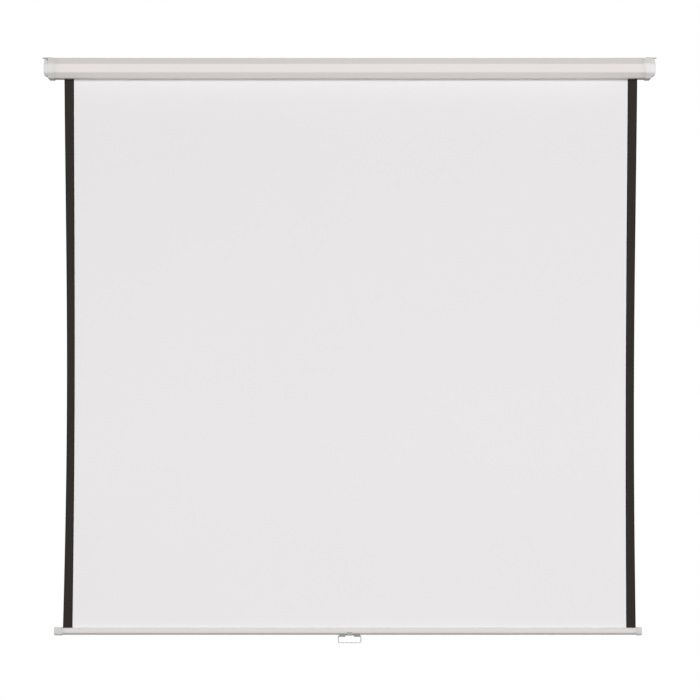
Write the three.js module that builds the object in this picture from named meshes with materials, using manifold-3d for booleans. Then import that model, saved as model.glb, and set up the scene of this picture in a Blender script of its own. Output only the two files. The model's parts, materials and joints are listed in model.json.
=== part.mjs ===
// Pull down projector screen: a slim case with end caps holds a spring roller, and the white
// sheet with its two black borders hangs from the roller down to a bottom bar with a wire pull.
// Millimetres. +X is right as seen by the viewer, the front faces -Y, the wall is the plane
// y = 0, and +Z is up. The origin is the centre of the case's flat back.
import * as THREE from 'three';
import { mergeVertices } from 'three/addons/utils/BufferGeometryUtils.js';
import Module from 'manifold-3d';

const wasm = await Module();
wasm.setup();

// Sheet
const sheetWidth = 1800;
const sheetThickness = 0.4;
const sheetDrop = 1723;
const borderWidth = 30;
const borderThickness = 0.2;
const waistLeft = 9;
const waistRight = 6;
const waistBand = 300;
const curlDepth = 9;
const curlBand = 90;
const waistPowerShare = 7;
const waistHeightShare = 1.22;
const sheetRows = 16;

// Case
const caseHeight = 64;
const caseDepth = 62;
const caseWall = 1.2;
const caseTopDepth = 41;
const caseUnderDepth = 45;
const frontTop = 9;
const frontBottom = -16;
const caseFrontRadius = 5;
const caseLowerRadius = 8;
const caseBackRadius = 2;
const slotWidth = 10;

// End caps
const capWall = 2;
const capSleeve = 16;
const bossHeight = 11;
const bossDrop = 1;
const bossBottom = -27;
const bossInset = 5;
const bossBack = 11;
const bossRadius = 8;

// Steel end brackets with their hanging ears
const bracketThickness = 2;
const strapLow = 18;
const strapMargin = 1;
const earWidth = 14;
const earReach = 23;
const earRun = 2;
const earHoleLength = 8.5;
const earHoleWidth = 6.5;
const earHoleMargin = 3.5;

// Screws
const screwRadius = 1.7;
const screwHeadRadius = 3.2;
const screwHeadHeight = 2;
const screwLength = 8;
const screwSpread = 40;
const pullScrewLength = 6;
const driveRadius = 1.5;
const driveDepth = 1.2;

// Spring roller
const rollerRadius = 16;
const rollerWall = 1;
const rollerOverhang = 18;
const rollerEndRoom = 23;
const rollerDepth = 31;
const rollerHeight = 2;
const plugHead = 4;
const plugLength = 30;
const wrapPitch = 0.7;
const wrapTurns = 2;
const wrapSteps = 20;

// Fixed spear, its notched collar and the spring
const spearRadius = 4;
const spearLength = 330;
const bladeThickness = 3;
const bladeHeight = 10;
const bladeLength = 12;
const bladeOverhang = 3;
const collarRadius = 8;
const collarThickness = 4;
const hubRadius = 13;
const hubLength = 10;
const springRadius = 9;
const springWire = 2.2;
const springTurns = 20;
const springTurnSteps = 8;
const springSides = 5;

// Pawls
const pawlPivotRadius = 12.5;
const pawlThickness = 3;
const pawlEyeRadius = 2.6;
const pawlPinRadius = 1.2;
const pawlPinHead = 1.4;
const pawlReach = 9;
const toothWidth = 2.8;
const toothHeight = 1.35;
const armWidth = 1.3;
const notchDepth = 2.5;
const notchLead = 1.2;

// Idle pin and its bush
const pinRadius = 3;
const pinCollarRadius = 5;
const pinCollar = 3;
const bushWall = 1.5;
const bushFlange = 2.5;
const bushFlangeThickness = 1.2;

// Bottom bar
const barOverhang = 1;
const barHeight = 22.5;
const barDepth = 16;
const barWall = 1.2;
const barRadius = 6;
const barSlot = 3;
const barCapLeft = 27;
const barCapRight = 17;
const barCapProud = 1.8;
const barCapPlug = 18;
const barCapWall = 2;
const hemRodRadius = 3;

// Pull handle and its bracket
const pullWidth = 71;
const pullDrop = 21;
const wireRadius = 1.6;
const wireBend = 5;
const knuckleRadius = 3.4;
const knuckleLength = 20;
const kneeBend = 3.2;
const legGap = 0.9;
const pullPlate = 1.5;
const pullPlateDepth = 13;
const pullTabWidth = 16;
const pullTabHeight = 10;

// Clearances and steps
const gap = 0.3;
const fitGap = 0.5;
const overrun = 1;
const roundSteps = 36;
const smallSteps = 16;
const screwSteps = 12;
const filletSteps = 4;
const leastRadius = 0.4;
const bendSteps = 5;
const wireSteps = 64;
const wireSides = 8;
const mergeDistance = 1e-4;

// Lengths and places worked out from the sizes
const barLength = sheetWidth + 2 * barOverhang;
const rollerLength = sheetWidth + 2 * rollerOverhang;
const caseLength = rollerLength + 2 * rollerEndRoom;
const caseTop = caseHeight / 2;
const caseBottom = -caseHeight / 2;
const caseEnd = caseLength / 2;
const capProud = gap + capWall;
const bossTop = caseTop - bossDrop;
const wrapGrowth = wrapPitch * wrapTurns;
const wrapInner = rollerRadius + gap + sheetThickness / 2;
const wrapOuter = wrapInner + wrapGrowth;
const sheetY = -rollerDepth + wrapOuter;
const sheetTop = rollerHeight - gap;
const borderTop = rollerHeight - rollerRadius / 2;
const barTop = caseBottom - sheetDrop;
const barBottom = barTop - barHeight;
const hemRadius = hemRodRadius + gap + sheetThickness;
const screwBore = screwRadius + gap;
const hemZ = barTop - barWall - gap - hemRadius;
const sheetBottom = hemZ + hemRadius + gap;
const hingeZ = barBottom - knuckleRadius;
const rollerEnd = rollerLength / 2;

// Materials, with the colours of the photograph
function finish(color, roughness, metalness) {
  return new THREE.MeshStandardMaterial({ color, roughness, metalness });
}
const caseWhite = () => finish(0xe6e1de, 0.45, 0.1);
const capPlastic = () => finish(0xdedcda, 0.5, 0);
const sheetWhite = () => finish(0xe8e6e8, 0.9, 0);
const borderBlack = () => finish(0x3a3532, 0.85, 0);
const zincSteel = () => finish(0xb4b4b2, 0.4, 0.9);
const springSteel = () => finish(0x77797c, 0.4, 0.9);
const rollerSteel = () => finish(0xa9abad, 0.45, 0.85);
const innerNylon = () => finish(0xd8d6cf, 0.6, 0);
const barAluminium = () => finish(0xdedad8, 0.4, 0.3);
const brightWire = () => finish(0xcfcfcf, 0.25, 1);

const part = new THREE.Group();

// Adds one named piece to a group
function add(group, name, geometry, material) {
  const mesh = new THREE.Mesh(geometry, material);
  mesh.name = name;
  group.add(mesh);
  return mesh;
}

// Gives a group moved to a place, as a child of the whole part
function groupAt(x, y, z) {
  const group = new THREE.Group();
  group.position.set(x, y, z);
  part.add(group);
  return group;
}

// Closed meshes and their joins and cuts

function signedVolume(positions, index) {
  const corner = (k) => new THREE.Vector3().fromArray(positions, 3 * index[k]);
  let volume = 0;
  for (let k = 0; k < index.length; k += 3) {
    volume += corner(k).dot(corner(k + 1).cross(corner(k + 2))) / 6;
  }
  return volume;
}

// Merges equal corners, drops collapsed triangles and turns the faces outwards
function closed(geometry) {
  const bare = geometry.clone();
  bare.deleteAttribute('normal');
  bare.deleteAttribute('uv');
  const merged = mergeVertices(bare, mergeDistance);
  const positions = merged.attributes.position.array;
  const source = merged.index.array;
  let index = [];
  for (let k = 0; k < source.length; k += 3) {
    const [a, b, c] = source.slice(k, k + 3);
    if (a !== b && b !== c && c !== a) {
      index.push(a, b, c);
    }
  }
  if (signedVolume(positions, index) < 0) {
    index = index.reverse();
  }
  const result = new THREE.BufferGeometry();
  result.setAttribute('position', new THREE.BufferAttribute(new Float32Array(positions), 3));
  result.setIndex(index);
  return result;
}

function solidOf(geometry) {
  const mesh = closed(geometry);
  return new wasm.Manifold(new wasm.Mesh({
    numProp: 3,
    vertProperties: mesh.attributes.position.array,
    triVerts: new Uint32Array(mesh.index.array),
  }));
}

function geometryOf(solid) {
  const mesh = solid.getMesh();
  const geometry = new THREE.BufferGeometry();
  geometry.setAttribute('position', new THREE.BufferAttribute(mesh.vertProperties, 3));
  geometry.setIndex(new THREE.BufferAttribute(mesh.triVerts, 1));
  return geometry;
}

// Joins some geometries into one body and cuts others out of it
function combine(joined, cuts = []) {
  let body = solidOf(joined[0]);
  for (const piece of joined.slice(1)) {
    body = body.add(solidOf(piece));
  }
  for (const cut of cuts) {
    body = body.subtract(solidOf(cut));
  }
  return geometryOf(body);
}

// Outlines in the (y, z) plane

const at = (y, z) => new THREE.Vector2(y, z);

function crossing(first, second) {
  const between = second.start.clone().sub(first.start);
  const reach = between.cross(second.along) / first.along.cross(second.along);
  return first.start.clone().addScaledVector(first.along, reach);
}

// Moves every side of an open chain of corners to its left by a distance
function offsetCorners(corners, distance) {
  const sides = [];
  for (let i = 0; i + 1 < corners.length; i++) {
    const along = corners[i + 1].clone().sub(corners[i]).normalize();
    const left = at(-along.y, along.x).multiplyScalar(distance);
    sides.push({ start: corners[i].clone().add(left), end: corners[i + 1].clone().add(left), along });
  }
  const moved = [sides[0].start];
  for (let i = 1; i < sides.length; i++) {
    moved.push(crossing(sides[i - 1], sides[i]));
  }
  moved.push(sides[sides.length - 1].end);
  return moved;
}

// Rounds the inner corners of an open chain, each with its own radius
function filleted(corners, radii, steps = filletSteps) {
  const points = [corners[0].clone()];
  for (let i = 1; i + 1 < corners.length; i++) {
    const before = corners[i - 1].clone().sub(corners[i]).normalize();
    const after = corners[i + 1].clone().sub(corners[i]).normalize();
    const half = Math.acos(THREE.MathUtils.clamp(before.dot(after), -1, 1)) / 2;
    const radius = radii[i - 1];
    const back = radius / Math.tan(half);
    const inwards = before.clone().add(after).normalize();
    const centre = corners[i].clone().addScaledVector(inwards, radius / Math.sin(half));
    const first = corners[i].clone().addScaledVector(before, back).sub(centre);
    const last = corners[i].clone().addScaledVector(after, back).sub(centre);
    const turn = Math.atan2(first.cross(last), first.dot(last));
    for (let k = 0; k <= steps; k++) {
      points.push(first.clone().rotateAround(at(0, 0), turn * k / steps).add(centre));
    }
  }
  points.push(corners[corners.length - 1].clone());
  return points;
}

// A wall that follows an open chain of corners: the chain is its outer side
function wallOutline(corners, radii, wall) {
  const inner = offsetCorners(corners, -wall);
  const innerRadii = radii.map((radius) => Math.max(radius - wall, leastRadius));
  return [...filleted(corners, radii), ...filleted(inner, innerRadii).reverse()];
}

// Carries an outline in (y, z) along +X
const acrossX = new THREE.Matrix4().makeBasis(
  new THREE.Vector3(0, 1, 0),
  new THREE.Vector3(0, 0, 1),
  new THREE.Vector3(1, 0, 0),
);
function extrudeX(outline, start, length) {
  const shape = new THREE.Shape(outline);
  const geometry = new THREE.ExtrudeGeometry(shape, { depth: length, bevelEnabled: false });
  return geometry.applyMatrix4(acrossX).translate(start, 0, 0);
}

// A body turned about the X axis from [x, radius] pairs that close on the axis or on themselves
function turnedX(profile, steps = roundSteps) {
  const points = profile.map(([x, radius]) => new THREE.Vector2(radius, x));
  return new THREE.LatheGeometry(points, steps).rotateZ(-Math.PI / 2);
}

function rodX(radius, start, end) {
  return closed(turnedX([[start, 0], [start, radius], [end, radius], [end, 0]], smallSteps));
}

function tubeX(inner, outer, start, end, steps = roundSteps) {
  return closed(turnedX([[start, inner], [start, outer], [end, outer], [end, inner], [start, inner]], steps));
}

function boxBetween(x0, x1, y0, y1, z0, z1) {
  const geometry = new THREE.BoxGeometry(Math.abs(x1 - x0), Math.abs(y1 - y0), Math.abs(z1 - z0));
  return geometry.translate((x0 + x1) / 2, (y0 + y1) / 2, (z0 + z1) / 2);
}

// A body through rings of equally many points, each ring an outline at its own x
function loftX(rings) {
  const count = rings[0].outline.length;
  const positions = rings.flatMap(({ x, outline }) => outline.flatMap((p) => [x, p.x, p.y]));
  const index = [];
  for (let r = 0; r + 1 < rings.length; r++) {
    for (let i = 0; i < count; i++) {
      const j = (i + 1) % count;
      const [a, b, c, d] = [r * count + i, r * count + j, (r + 1) * count + j, (r + 1) * count + i];
      index.push(a, b, c, a, c, d);
    }
  }
  const last = (rings.length - 1) * count;
  const caps = THREE.ShapeUtils.triangulateShape(rings[0].outline, []);
  const lastCaps = THREE.ShapeUtils.triangulateShape(rings[rings.length - 1].outline, []);
  const clockwise = THREE.ShapeUtils.isClockWise(rings[0].outline);
  for (const [a, b, c] of caps) {
    index.push(...(clockwise ? [a, b, c] : [a, c, b]));
  }
  for (const [a, b, c] of lastCaps) {
    index.push(...(clockwise ? [last + a, last + c, last + b] : [last + a, last + b, last + c]));
  }
  const geometry = new THREE.BufferGeometry();
  geometry.setAttribute('position', new THREE.Float32BufferAttribute(positions, 3));
  geometry.setIndex(index);
  return geometry;
}

// Mirrors a piece drawn for the right hand end to the side wanted
function onSide(geometry, side) {
  return closed(side > 0 ? geometry : geometry.clone().scale(-1, 1, 1));
}

// Case: a thin shell with slanted front faces and a slot along its underside

const slotFront = sheetY - slotWidth / 2;
const slotBack = sheetY + slotWidth / 2;
const caseFrontCorners = [
  at(-caseUnderDepth, caseBottom),
  at(-caseDepth, frontBottom),
  at(-caseDepth, frontTop),
  at(-caseTopDepth, caseTop),
];
const caseFrontRadii = [caseFrontRadius, caseLowerRadius, caseFrontRadius, caseFrontRadius];

function caseShell() {
  const corners = [
    at(slotFront, caseBottom),
    ...caseFrontCorners,
    at(0, caseTop),
    at(0, caseBottom),
    at(slotBack, caseBottom),
  ];
  const radii = [...caseFrontRadii, caseBackRadius, caseBackRadius];
  return closed(extrudeX(wallOutline(corners, radii, caseWall), -caseEnd, caseLength));
}

// The case's outline from its lower back corner round the front to its upper back corner
const caseOpenCorners = [at(0, caseBottom), ...caseFrontCorners, at(0, caseTop)];

// End caps: a plate with a sleeve over the case's end and a hollow domed boss outside

const bossChain = [
  at(-bossBack, 0),
  at(-bossBack, bossBottom),
  at(-caseUnderDepth, bossBottom),
  at(-caseDepth + bossInset, frontBottom),
  at(-caseDepth + bossInset, frontTop),
  at(-caseTopDepth + bossInset / 2, bossTop),
  at(-bossBack, bossTop),
  at(-bossBack, 0),
];

// Rings of a dome on the boss's outline: straight from its root, then rounded over to its top
function domeRings(root, height, inset) {
  const ringAt = (x, shrink) => {
    const radius = Math.max(bossRadius + capWall - shrink, capWall);
    const corners = offsetCorners(bossChain, -shrink);
    return { x, outline: filleted(corners, bossChain.slice(1, -1).map(() => radius)).slice(0, -1) };
  };
  const rings = [ringAt(root, inset)];
  for (let k = 0; k <= filletSteps; k++) {
    const angle = k / filletSteps * Math.PI / 2;
    rings.push(ringAt(caseEnd + capWall + height * Math.sin(angle), inset + bossRadius * (1 - Math.cos(angle))));
  }
  return rings;
}

function endCap(side) {
  const outer = offsetCorners(caseOpenCorners, capProud);
  const outerRadii = caseFrontRadii.map((radius) => radius + capProud);
  const plate = extrudeX(filleted(outer, outerRadii), caseEnd, capWall);
  const sleeve = extrudeX(wallOutline(outer, outerRadii, capWall), caseEnd - capSleeve, capSleeve + capWall / 2);
  const boss = loftX(domeRings(caseEnd + capWall / 2, bossHeight, 0));
  const hollow = loftX(domeRings(caseEnd - overrun, bossHeight - capWall, capWall));
  const riserSlot = boxBetween(
    riserInner - gap, riserOuter + gap,
    earFront - gap, earRear + gap,
    strapLow + bracketThickness, bossTop + overrun,
  );
  const bores = screwPlaces.map(([y, z]) =>
    rodX(screwBore, caseEnd - overrun, caseEnd + capWall + overrun).translate(0, y, z));
  return onSide(combine([plate, sleeve, boss], [hollow, riserSlot, ...bores]), side);
}

// Steel end brackets: a plate behind each cap carries the roller, and a strap from the plate
// rises inside the cap's boss, leaves it through a slot in its top and ends in the hanging ear

const bracketInset = caseWall + fitGap;
const earRear = -bossBack - capWall - strapMargin;
const earFront = earRear - earWidth;
const earTop = caseTop + capProud;
const earEnd = caseEnd + earReach;
const riserInner = caseEnd + capWall + earRun;
const riserOuter = riserInner + bracketThickness;
const screwPlaces = [[-bossBack / 2, screwSpread / 2], [-bossBack / 2, -screwSpread / 2]];

function hangingStrap() {
  const side = new THREE.Shape([
    at(caseEnd - bracketThickness, strapLow),
    at(riserOuter, strapLow),
    at(riserOuter, earTop - bracketThickness),
    at(earEnd, earTop - bracketThickness),
    at(earEnd, earTop),
    at(riserInner, earTop),
    at(riserInner, strapLow + bracketThickness),
    at(caseEnd - bracketThickness, strapLow + bracketThickness),
  ]);
  const strap = new THREE.ExtrudeGeometry(side, { depth: earWidth, bevelEnabled: false });
  return strap.rotateX(Math.PI / 2).translate(0, earRear, 0);
}

function earHole() {
  const centre = earEnd - earHoleMargin - earHoleWidth / 2;
  const half = (earHoleLength - earHoleWidth) / 2;
  const hole = new THREE.Shape();
  hole.absarc(half, 0, earHoleWidth / 2, -Math.PI / 2, Math.PI / 2);
  hole.absarc(-half, 0, earHoleWidth / 2, Math.PI / 2, 3 * Math.PI / 2);
  const depth = bracketThickness + 2 * overrun;
  const cut = new THREE.ExtrudeGeometry(hole, { depth, bevelEnabled: false, curveSegments: filletSteps * 2 });
  return cut.rotateZ(Math.PI / 2).translate(centre, (earRear + earFront) / 2, earTop - bracketThickness - overrun);
}

function endBracket(side, bearingCut) {
  const inner = offsetCorners(caseOpenCorners, -bracketInset);
  inner[0].setX(-bracketInset);
  inner[inner.length - 1].setX(-bracketInset);
  const radii = caseFrontRadii.map((radius) => Math.max(radius - bracketInset, leastRadius));
  const plate = extrudeX(filleted(inner, radii), caseEnd - bracketThickness, bracketThickness);
  const bores = screwPlaces.map(([y, z]) =>
    rodX(screwBore, caseEnd - bracketThickness - overrun, caseEnd + overrun).translate(0, y, z));
  return onSide(combine([plate, hangingStrap()], [bearingCut, earHole(), ...bores]), side);
}

// A slot, open at the top of the plate, that the spear's blade drops into and can't turn in
function bladeSlot() {
  return boxBetween(
    caseEnd - bracketThickness - overrun, caseEnd + overrun,
    -rollerDepth - bladeThickness / 2 - gap, -rollerDepth + bladeThickness / 2 + gap,
    rollerHeight - bladeHeight / 2 - gap, caseTop,
  );
}

function bushHole() {
  const radius = pinRadius + gap + bushWall + gap;
  return rodX(radius, caseEnd - bracketThickness - overrun, caseEnd + overrun)
    .translate(0, -rollerDepth, rollerHeight);
}

// A pan head screw along X with its head's seat at the given x and a recess for the driver
function panScrew(seat, length) {
  const top = seat + screwHeadHeight;
  const rim = screwHeadHeight / 2;
  return closed(turnedX([
    [seat - length, 0],
    [seat - length, screwRadius],
    [seat, screwRadius],
    [seat, screwHeadRadius],
    [seat + rim, screwHeadRadius],
    [top, screwHeadRadius - rim],
    [top, driveRadius],
    [top - driveDepth, driveRadius],
    [top - driveDepth, 0],
  ], screwSteps));
}

const sides = [['left', -1], ['right', 1]];
add(part, 'case_shell', caseShell(), caseWhite());
for (const [word, side] of sides) {
  add(part, `${word}_end_cap`, endCap(side), capPlastic());
  const bearingCut = side < 0 ? bladeSlot() : bushHole();
  add(part, `${word}_end_bracket`, endBracket(side, bearingCut), zincSteel());
  screwPlaces.forEach(([y, z], place) => {
    const screw = onSide(panScrew(caseEnd + capWall, screwLength), side);
    add(part, `${word}_cap_screw_${place + 1}`, screw, zincSteel()).position.set(0, y, z);
  });
}

// Fixed parts on the roller's axis: the spear, its notched collar and the spring's hub

const axis = groupAt(0, -rollerDepth, rollerHeight);
const bladeStart = -caseEnd - bladeOverhang;
const shankStart = bladeStart + bladeLength;
const plugFace = -rollerEnd - plugHead;
const collarEnd = plugFace - fitGap;
const collarStart = collarEnd - collarThickness;
const hubStart = shankStart + spearLength - hubLength;

function spear() {
  const blade = boxBetween(
    bladeStart, shankStart + overrun,
    -bladeThickness / 2, bladeThickness / 2,
    -bladeHeight / 2, bladeHeight / 2,
  );
  return combine([rodX(spearRadius, shankStart, shankStart + spearLength), blade]);
}

// The pawl is drawn about its pivot, with its arm along +x and the collar's centre on its +y side
const collarAcross = Math.sqrt(pawlPivotRadius ** 2 - pawlReach ** 2);
const toothTip = collarAcross - collarRadius - gap;
const toothBase = toothTip - toothHeight;
const pawlTurn = -Math.PI / 2 - Math.atan2(collarAcross, pawlReach);

function pawlFrame(geometry, half) {
  return geometry.rotateZ(pawlTurn).translate(0, pawlPivotRadius, 0).rotateZ(half * Math.PI)
    .applyMatrix4(acrossX);
}

function notch(half) {
  const cut = boxBetween(
    pawlReach - toothWidth / 2 - notchLead, pawlReach + toothWidth / 2 + gap,
    -toothHeight, toothTip + gap + notchDepth,
    -overrun, collarThickness + overrun,
  );
  return pawlFrame(cut, half).translate(collarStart, 0, 0);
}

function notchedCollar() {
  return combine([tubeX(spearRadius + gap, collarRadius, collarStart, collarEnd)], [notch(0), notch(1)]);
}

add(axis, 'spear_shaft', spear(), zincSteel());
add(axis, 'notched_collar', notchedCollar(), springSteel());
add(axis, 'spring_hub', tubeX(spearRadius + gap, hubRadius, hubStart, hubStart + hubLength), innerNylon());

// The torsion spring: one unbroken wire wound from the turning plug to the fixed hub
class Helix extends THREE.Curve {
  constructor(start, end, radius, turns) {
    super();
    Object.assign(this, { start, end, radius, turns });
  }

  getPoint(t, target = new THREE.Vector3()) {
    const angle = 2 * Math.PI * this.turns * t;
    const x = this.start + (this.end - this.start) * t;
    return target.set(x, this.radius * Math.cos(angle), this.radius * Math.sin(angle));
  }
}

function polygon(radius, sideCount) {
  const corners = [];
  for (let k = 0; k < sideCount; k++) {
    const angle = 2 * Math.PI * k / sideCount;
    corners.push(at(radius * Math.cos(angle), radius * Math.sin(angle)));
  }
  return new THREE.Shape(corners);
}

function torsionSpring() {
  const start = -rollerEnd + plugLength + gap + springWire / 2;
  const end = hubStart - gap - springWire / 2;
  const path = new Helix(start, end, springRadius, springTurns);
  const steps = springTurns * springTurnSteps;
  return closed(new THREE.ExtrudeGeometry(polygon(springWire / 2, springSides), { extrudePath: path, steps }));
}

add(axis, 'torsion_spring', torsionSpring(), springSteel());

// Turning parts of the roller: tube, plugs, pin, the sheet's wraps, pawls and their pins

const roller = groupAt(0, -rollerDepth, rollerHeight);
const tubeInner = rollerRadius - rollerWall;

function plug(bore) {
  return closed(turnedX([
    [rollerEnd - plugLength, bore],
    [rollerEnd - plugLength, tubeInner - gap],
    [rollerEnd, tubeInner - gap],
    [rollerEnd, rollerRadius],
    [rollerEnd + plugHead, rollerRadius],
    [rollerEnd + plugHead, bore],
    [rollerEnd - plugLength, bore],
  ]));
}

function idlePin() {
  return closed(turnedX([
    [rollerEnd - plugLength, 0],
    [rollerEnd - plugLength, pinRadius],
    [rollerEnd + plugHead, pinRadius],
    [rollerEnd + plugHead, pinCollarRadius],
    [rollerEnd + plugHead + pinCollar, pinCollarRadius],
    [rollerEnd + plugHead + pinCollar, pinRadius],
    [caseEnd + bladeOverhang, pinRadius],
    [caseEnd + bladeOverhang, 0],
  ], smallSteps));
}

// The turns of the sheet that stay on the roller, a spiral whose outer end leaves it downwards
function sheetWraps() {
  const steps = wrapTurns * wrapSteps;
  const spiral = (offset) => {
    const points = [];
    for (let k = 0; k <= steps; k++) {
      const angle = 2 * Math.PI * k / wrapSteps;
      const radius = wrapOuter - wrapPitch * k / wrapSteps + offset;
      points.push(at(radius * Math.cos(angle), radius * Math.sin(angle)));
    }
    return points;
  };
  const outline = [...spiral(sheetThickness / 2), ...spiral(-sheetThickness / 2).reverse()];
  return closed(extrudeX(outline, -sheetWidth / 2, sheetWidth));
}

function pawl(half) {
  const eye = new THREE.CylinderGeometry(pawlEyeRadius, pawlEyeRadius, pawlThickness, smallSteps);
  const tip = pawlReach + toothWidth / 2;
  const arm = new THREE.Shape([
    at(0, toothBase - armWidth),
    at(tip, toothBase - armWidth),
    at(tip, toothTip),
    at(tip - toothWidth, toothTip),
    at(tip - toothWidth, toothBase),
    at(0, toothBase),
  ]);
  const armBody = new THREE.ExtrudeGeometry(arm, { depth: pawlThickness, bevelEnabled: false });
  const boreRadius = pawlPinRadius + gap;
  const bore = new THREE.CylinderGeometry(boreRadius, boreRadius, pawlThickness + 2 * overrun, smallSteps);
  const body = combine(
    [eye.rotateX(Math.PI / 2).translate(0, 0, pawlThickness / 2), armBody],
    [bore.rotateX(Math.PI / 2).translate(0, 0, pawlThickness / 2)],
  );
  return closed(pawlFrame(body, half).translate(plugFace - gap - pawlThickness, 0, 0));
}

function pawlPin(half) {
  const headInner = plugFace - gap - pawlThickness - gap;
  const body = turnedX([
    [plugFace, 0],
    [plugFace, pawlPinRadius],
    [headInner, pawlPinRadius],
    [headInner, pawlPinRadius * 2],
    [headInner - pawlPinHead, pawlPinRadius * 2],
    [headInner - pawlPinHead, 0],
  ], smallSteps);
  return closed(body.translate(0, 0, pawlPivotRadius).rotateX(half * Math.PI));
}

function idleBush() {
  const bore = pinRadius + gap;
  const shell = bore + bushWall;
  const face = caseEnd - bracketThickness;
  return closed(turnedX([
    [face - bushFlangeThickness, bore],
    [face - bushFlangeThickness, shell + bushFlange],
    [face, shell + bushFlange],
    [face, shell],
    [caseEnd, shell],
    [caseEnd, bore],
    [face - bushFlangeThickness, bore],
  ], smallSteps));
}

add(roller, 'roller_tube', tubeX(tubeInner, rollerRadius, -rollerEnd, rollerEnd), rollerSteel());
add(roller, 'spring_end_plug', onSide(plug(spearRadius + gap), -1), innerNylon());
add(roller, 'idle_end_plug', plug(pinRadius + gap), innerNylon());
add(roller, 'idle_pin', idlePin(), zincSteel());
add(roller, 'sheet_on_roller', sheetWraps(), sheetWhite());
for (const [letter, half] of [['a', 0], ['b', 1]]) {
  add(roller, `pawl_${letter}`, pawl(half), springSteel());
  add(roller, `pawl_pin_${letter}`, pawlPin(half), zincSteel());
}
add(axis, 'idle_bush', idleBush(), innerNylon());

// The hanging sheet: narrowest a little below half height, with its edges curled back there

const halfWidth = sheetWidth / 2;

// How strongly the waist and curl show at a height: none at the case and at the bar
function waistAt(z) {
  const drop = THREE.MathUtils.clamp((caseBottom - z) / sheetDrop, 0, 1);
  return Math.sin(Math.PI * drop ** waistHeightShare);
}

// A point of the sheet's middle plane, from its flat distance right of centre and its height
function sheetPoint(across, z) {
  const side = Math.sign(across);
  const distance = Math.abs(across);
  const narrowing = side < 0 ? waistLeft : waistRight;
  const waistShare = Math.max(0, (distance - halfWidth + waistBand) / waistBand) ** waistPowerShare;
  const curlShare = Math.max(0, (distance - halfWidth + curlBand) / curlBand) ** 2;
  const strength = waistAt(z);
  const x = side * (distance - narrowing * strength * waistShare);
  return new THREE.Vector3(x, sheetY + curlDepth * strength * curlShare, z);
}

function sheetHeights(top) {
  const heights = [top, caseBottom];
  for (let row = 1; row <= sheetRows; row++) {
    heights.push(caseBottom - sheetDrop * row / sheetRows);
  }
  return [...heights, sheetBottom];
}

// A thin body over a grid of columns and heights, between two offsets from the middle plane
function sheetBody(columns, top, front, back) {
  const heights = sheetHeights(top);
  const wide = columns.length;
  const layer = wide * heights.length;
  const positions = [];
  for (const offset of [front, back]) {
    for (const z of heights) {
      for (const across of columns) {
        const p = sheetPoint(across, z);
        positions.push(p.x, p.y + offset, p.z);
      }
    }
  }
  const index = [];
  const quad = (a, b, c, d) => index.push(a, b, c, a, c, d);
  for (let row = 0; row + 1 < heights.length; row++) {
    for (let column = 0; column + 1 < wide; column++) {
      const a = row * wide + column;
      quad(a, a + wide, a + wide + 1, a + 1);
      quad(layer + a, layer + a + 1, layer + a + wide + 1, layer + a + wide);
    }
    const left = row * wide;
    const right = left + wide - 1;
    quad(left, layer + left, layer + left + wide, left + wide);
    quad(right, right + wide, layer + right + wide, layer + right);
  }
  const bottom = (heights.length - 1) * wide;
  for (let column = 0; column + 1 < wide; column++) {
    quad(column, column + 1, layer + column + 1, layer + column);
    const low = bottom + column;
    quad(low, layer + low, layer + low + 1, low + 1);
  }
  const geometry = new THREE.BufferGeometry();
  geometry.setAttribute('position', new THREE.Float32BufferAttribute(positions, 3));
  geometry.setIndex(index);
  return closed(geometry);
}

const seam = halfWidth - borderWidth;
const borderColumns = [seam, seam + borderWidth / 2, halfWidth];
const curlStart = halfWidth - curlBand;
const edgeColumns = [
  halfWidth - waistBand,
  curlStart - (waistBand - curlBand) / 2,
  curlStart,
  (curlStart + seam) / 2,
  ...borderColumns,
];
const mirrored = (columns) => columns.map((across) => -across).reverse();
const faceOffset = -sheetThickness / 2;

const sheetColumns = [...mirrored(edgeColumns), ...edgeColumns];
add(part, 'screen_sheet', sheetBody(sheetColumns, sheetTop, faceOffset, -faceOffset), sheetWhite());
for (const [word, side] of sides) {
  const columns = side < 0 ? mirrored(borderColumns) : borderColumns;
  const border = sheetBody(columns, borderTop, faceOffset - gap - borderThickness, faceOffset - gap);
  add(part, `${word}_black_border`, border, borderBlack());
}

// Places of the pull handle, which hangs under the bar's middle
const knuckleEnd = pullWidth / 2 - wireRadius - legGap;
const knuckleStart = knuckleEnd - knuckleLength;
const plateTop = knuckleRadius;
const plateBottom = plateTop - pullPlate;
const tabFace = -barDepth / 2;
const tabScrewZ = plateTop + pullTabHeight - screwHeadRadius - gap;

// A cylinder along Y for a bore
function boreAlong(radius, length) {
  return new THREE.CylinderGeometry(radius, radius, length, smallSteps);
}

// Bottom bar: a rounded tube with a slot on top that traps the sheet's hem on its rod

const bar = groupAt(0, sheetY, barTop);

// The bar's outline runs clockwise from one lip of its slot to the other
function bottomBar() {
  const y = barDepth / 2;
  const slot = barSlot / 2;
  const corners = [
    at(slot, 0),
    at(y, 0),
    at(y, -barHeight),
    at(-y, -barHeight),
    at(-y, 0),
    at(-slot, 0),
  ];
  const outline = wallOutline(corners, corners.slice(1, -1).map(() => barRadius), barWall);
  const tube = extrudeX(outline, -barLength / 2, barLength);
  const reach = 2 * (barWall + overrun);
  const frontHole = boreAlong(screwBore, reach).translate(0, -y, tabScrewZ + hingeZ - barTop);
  const underHole = boreAlong(screwBore, reach).rotateX(Math.PI / 2).translate(0, 0, -barHeight);
  return combine([tube], [frontHole, underHole]);
}

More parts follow.
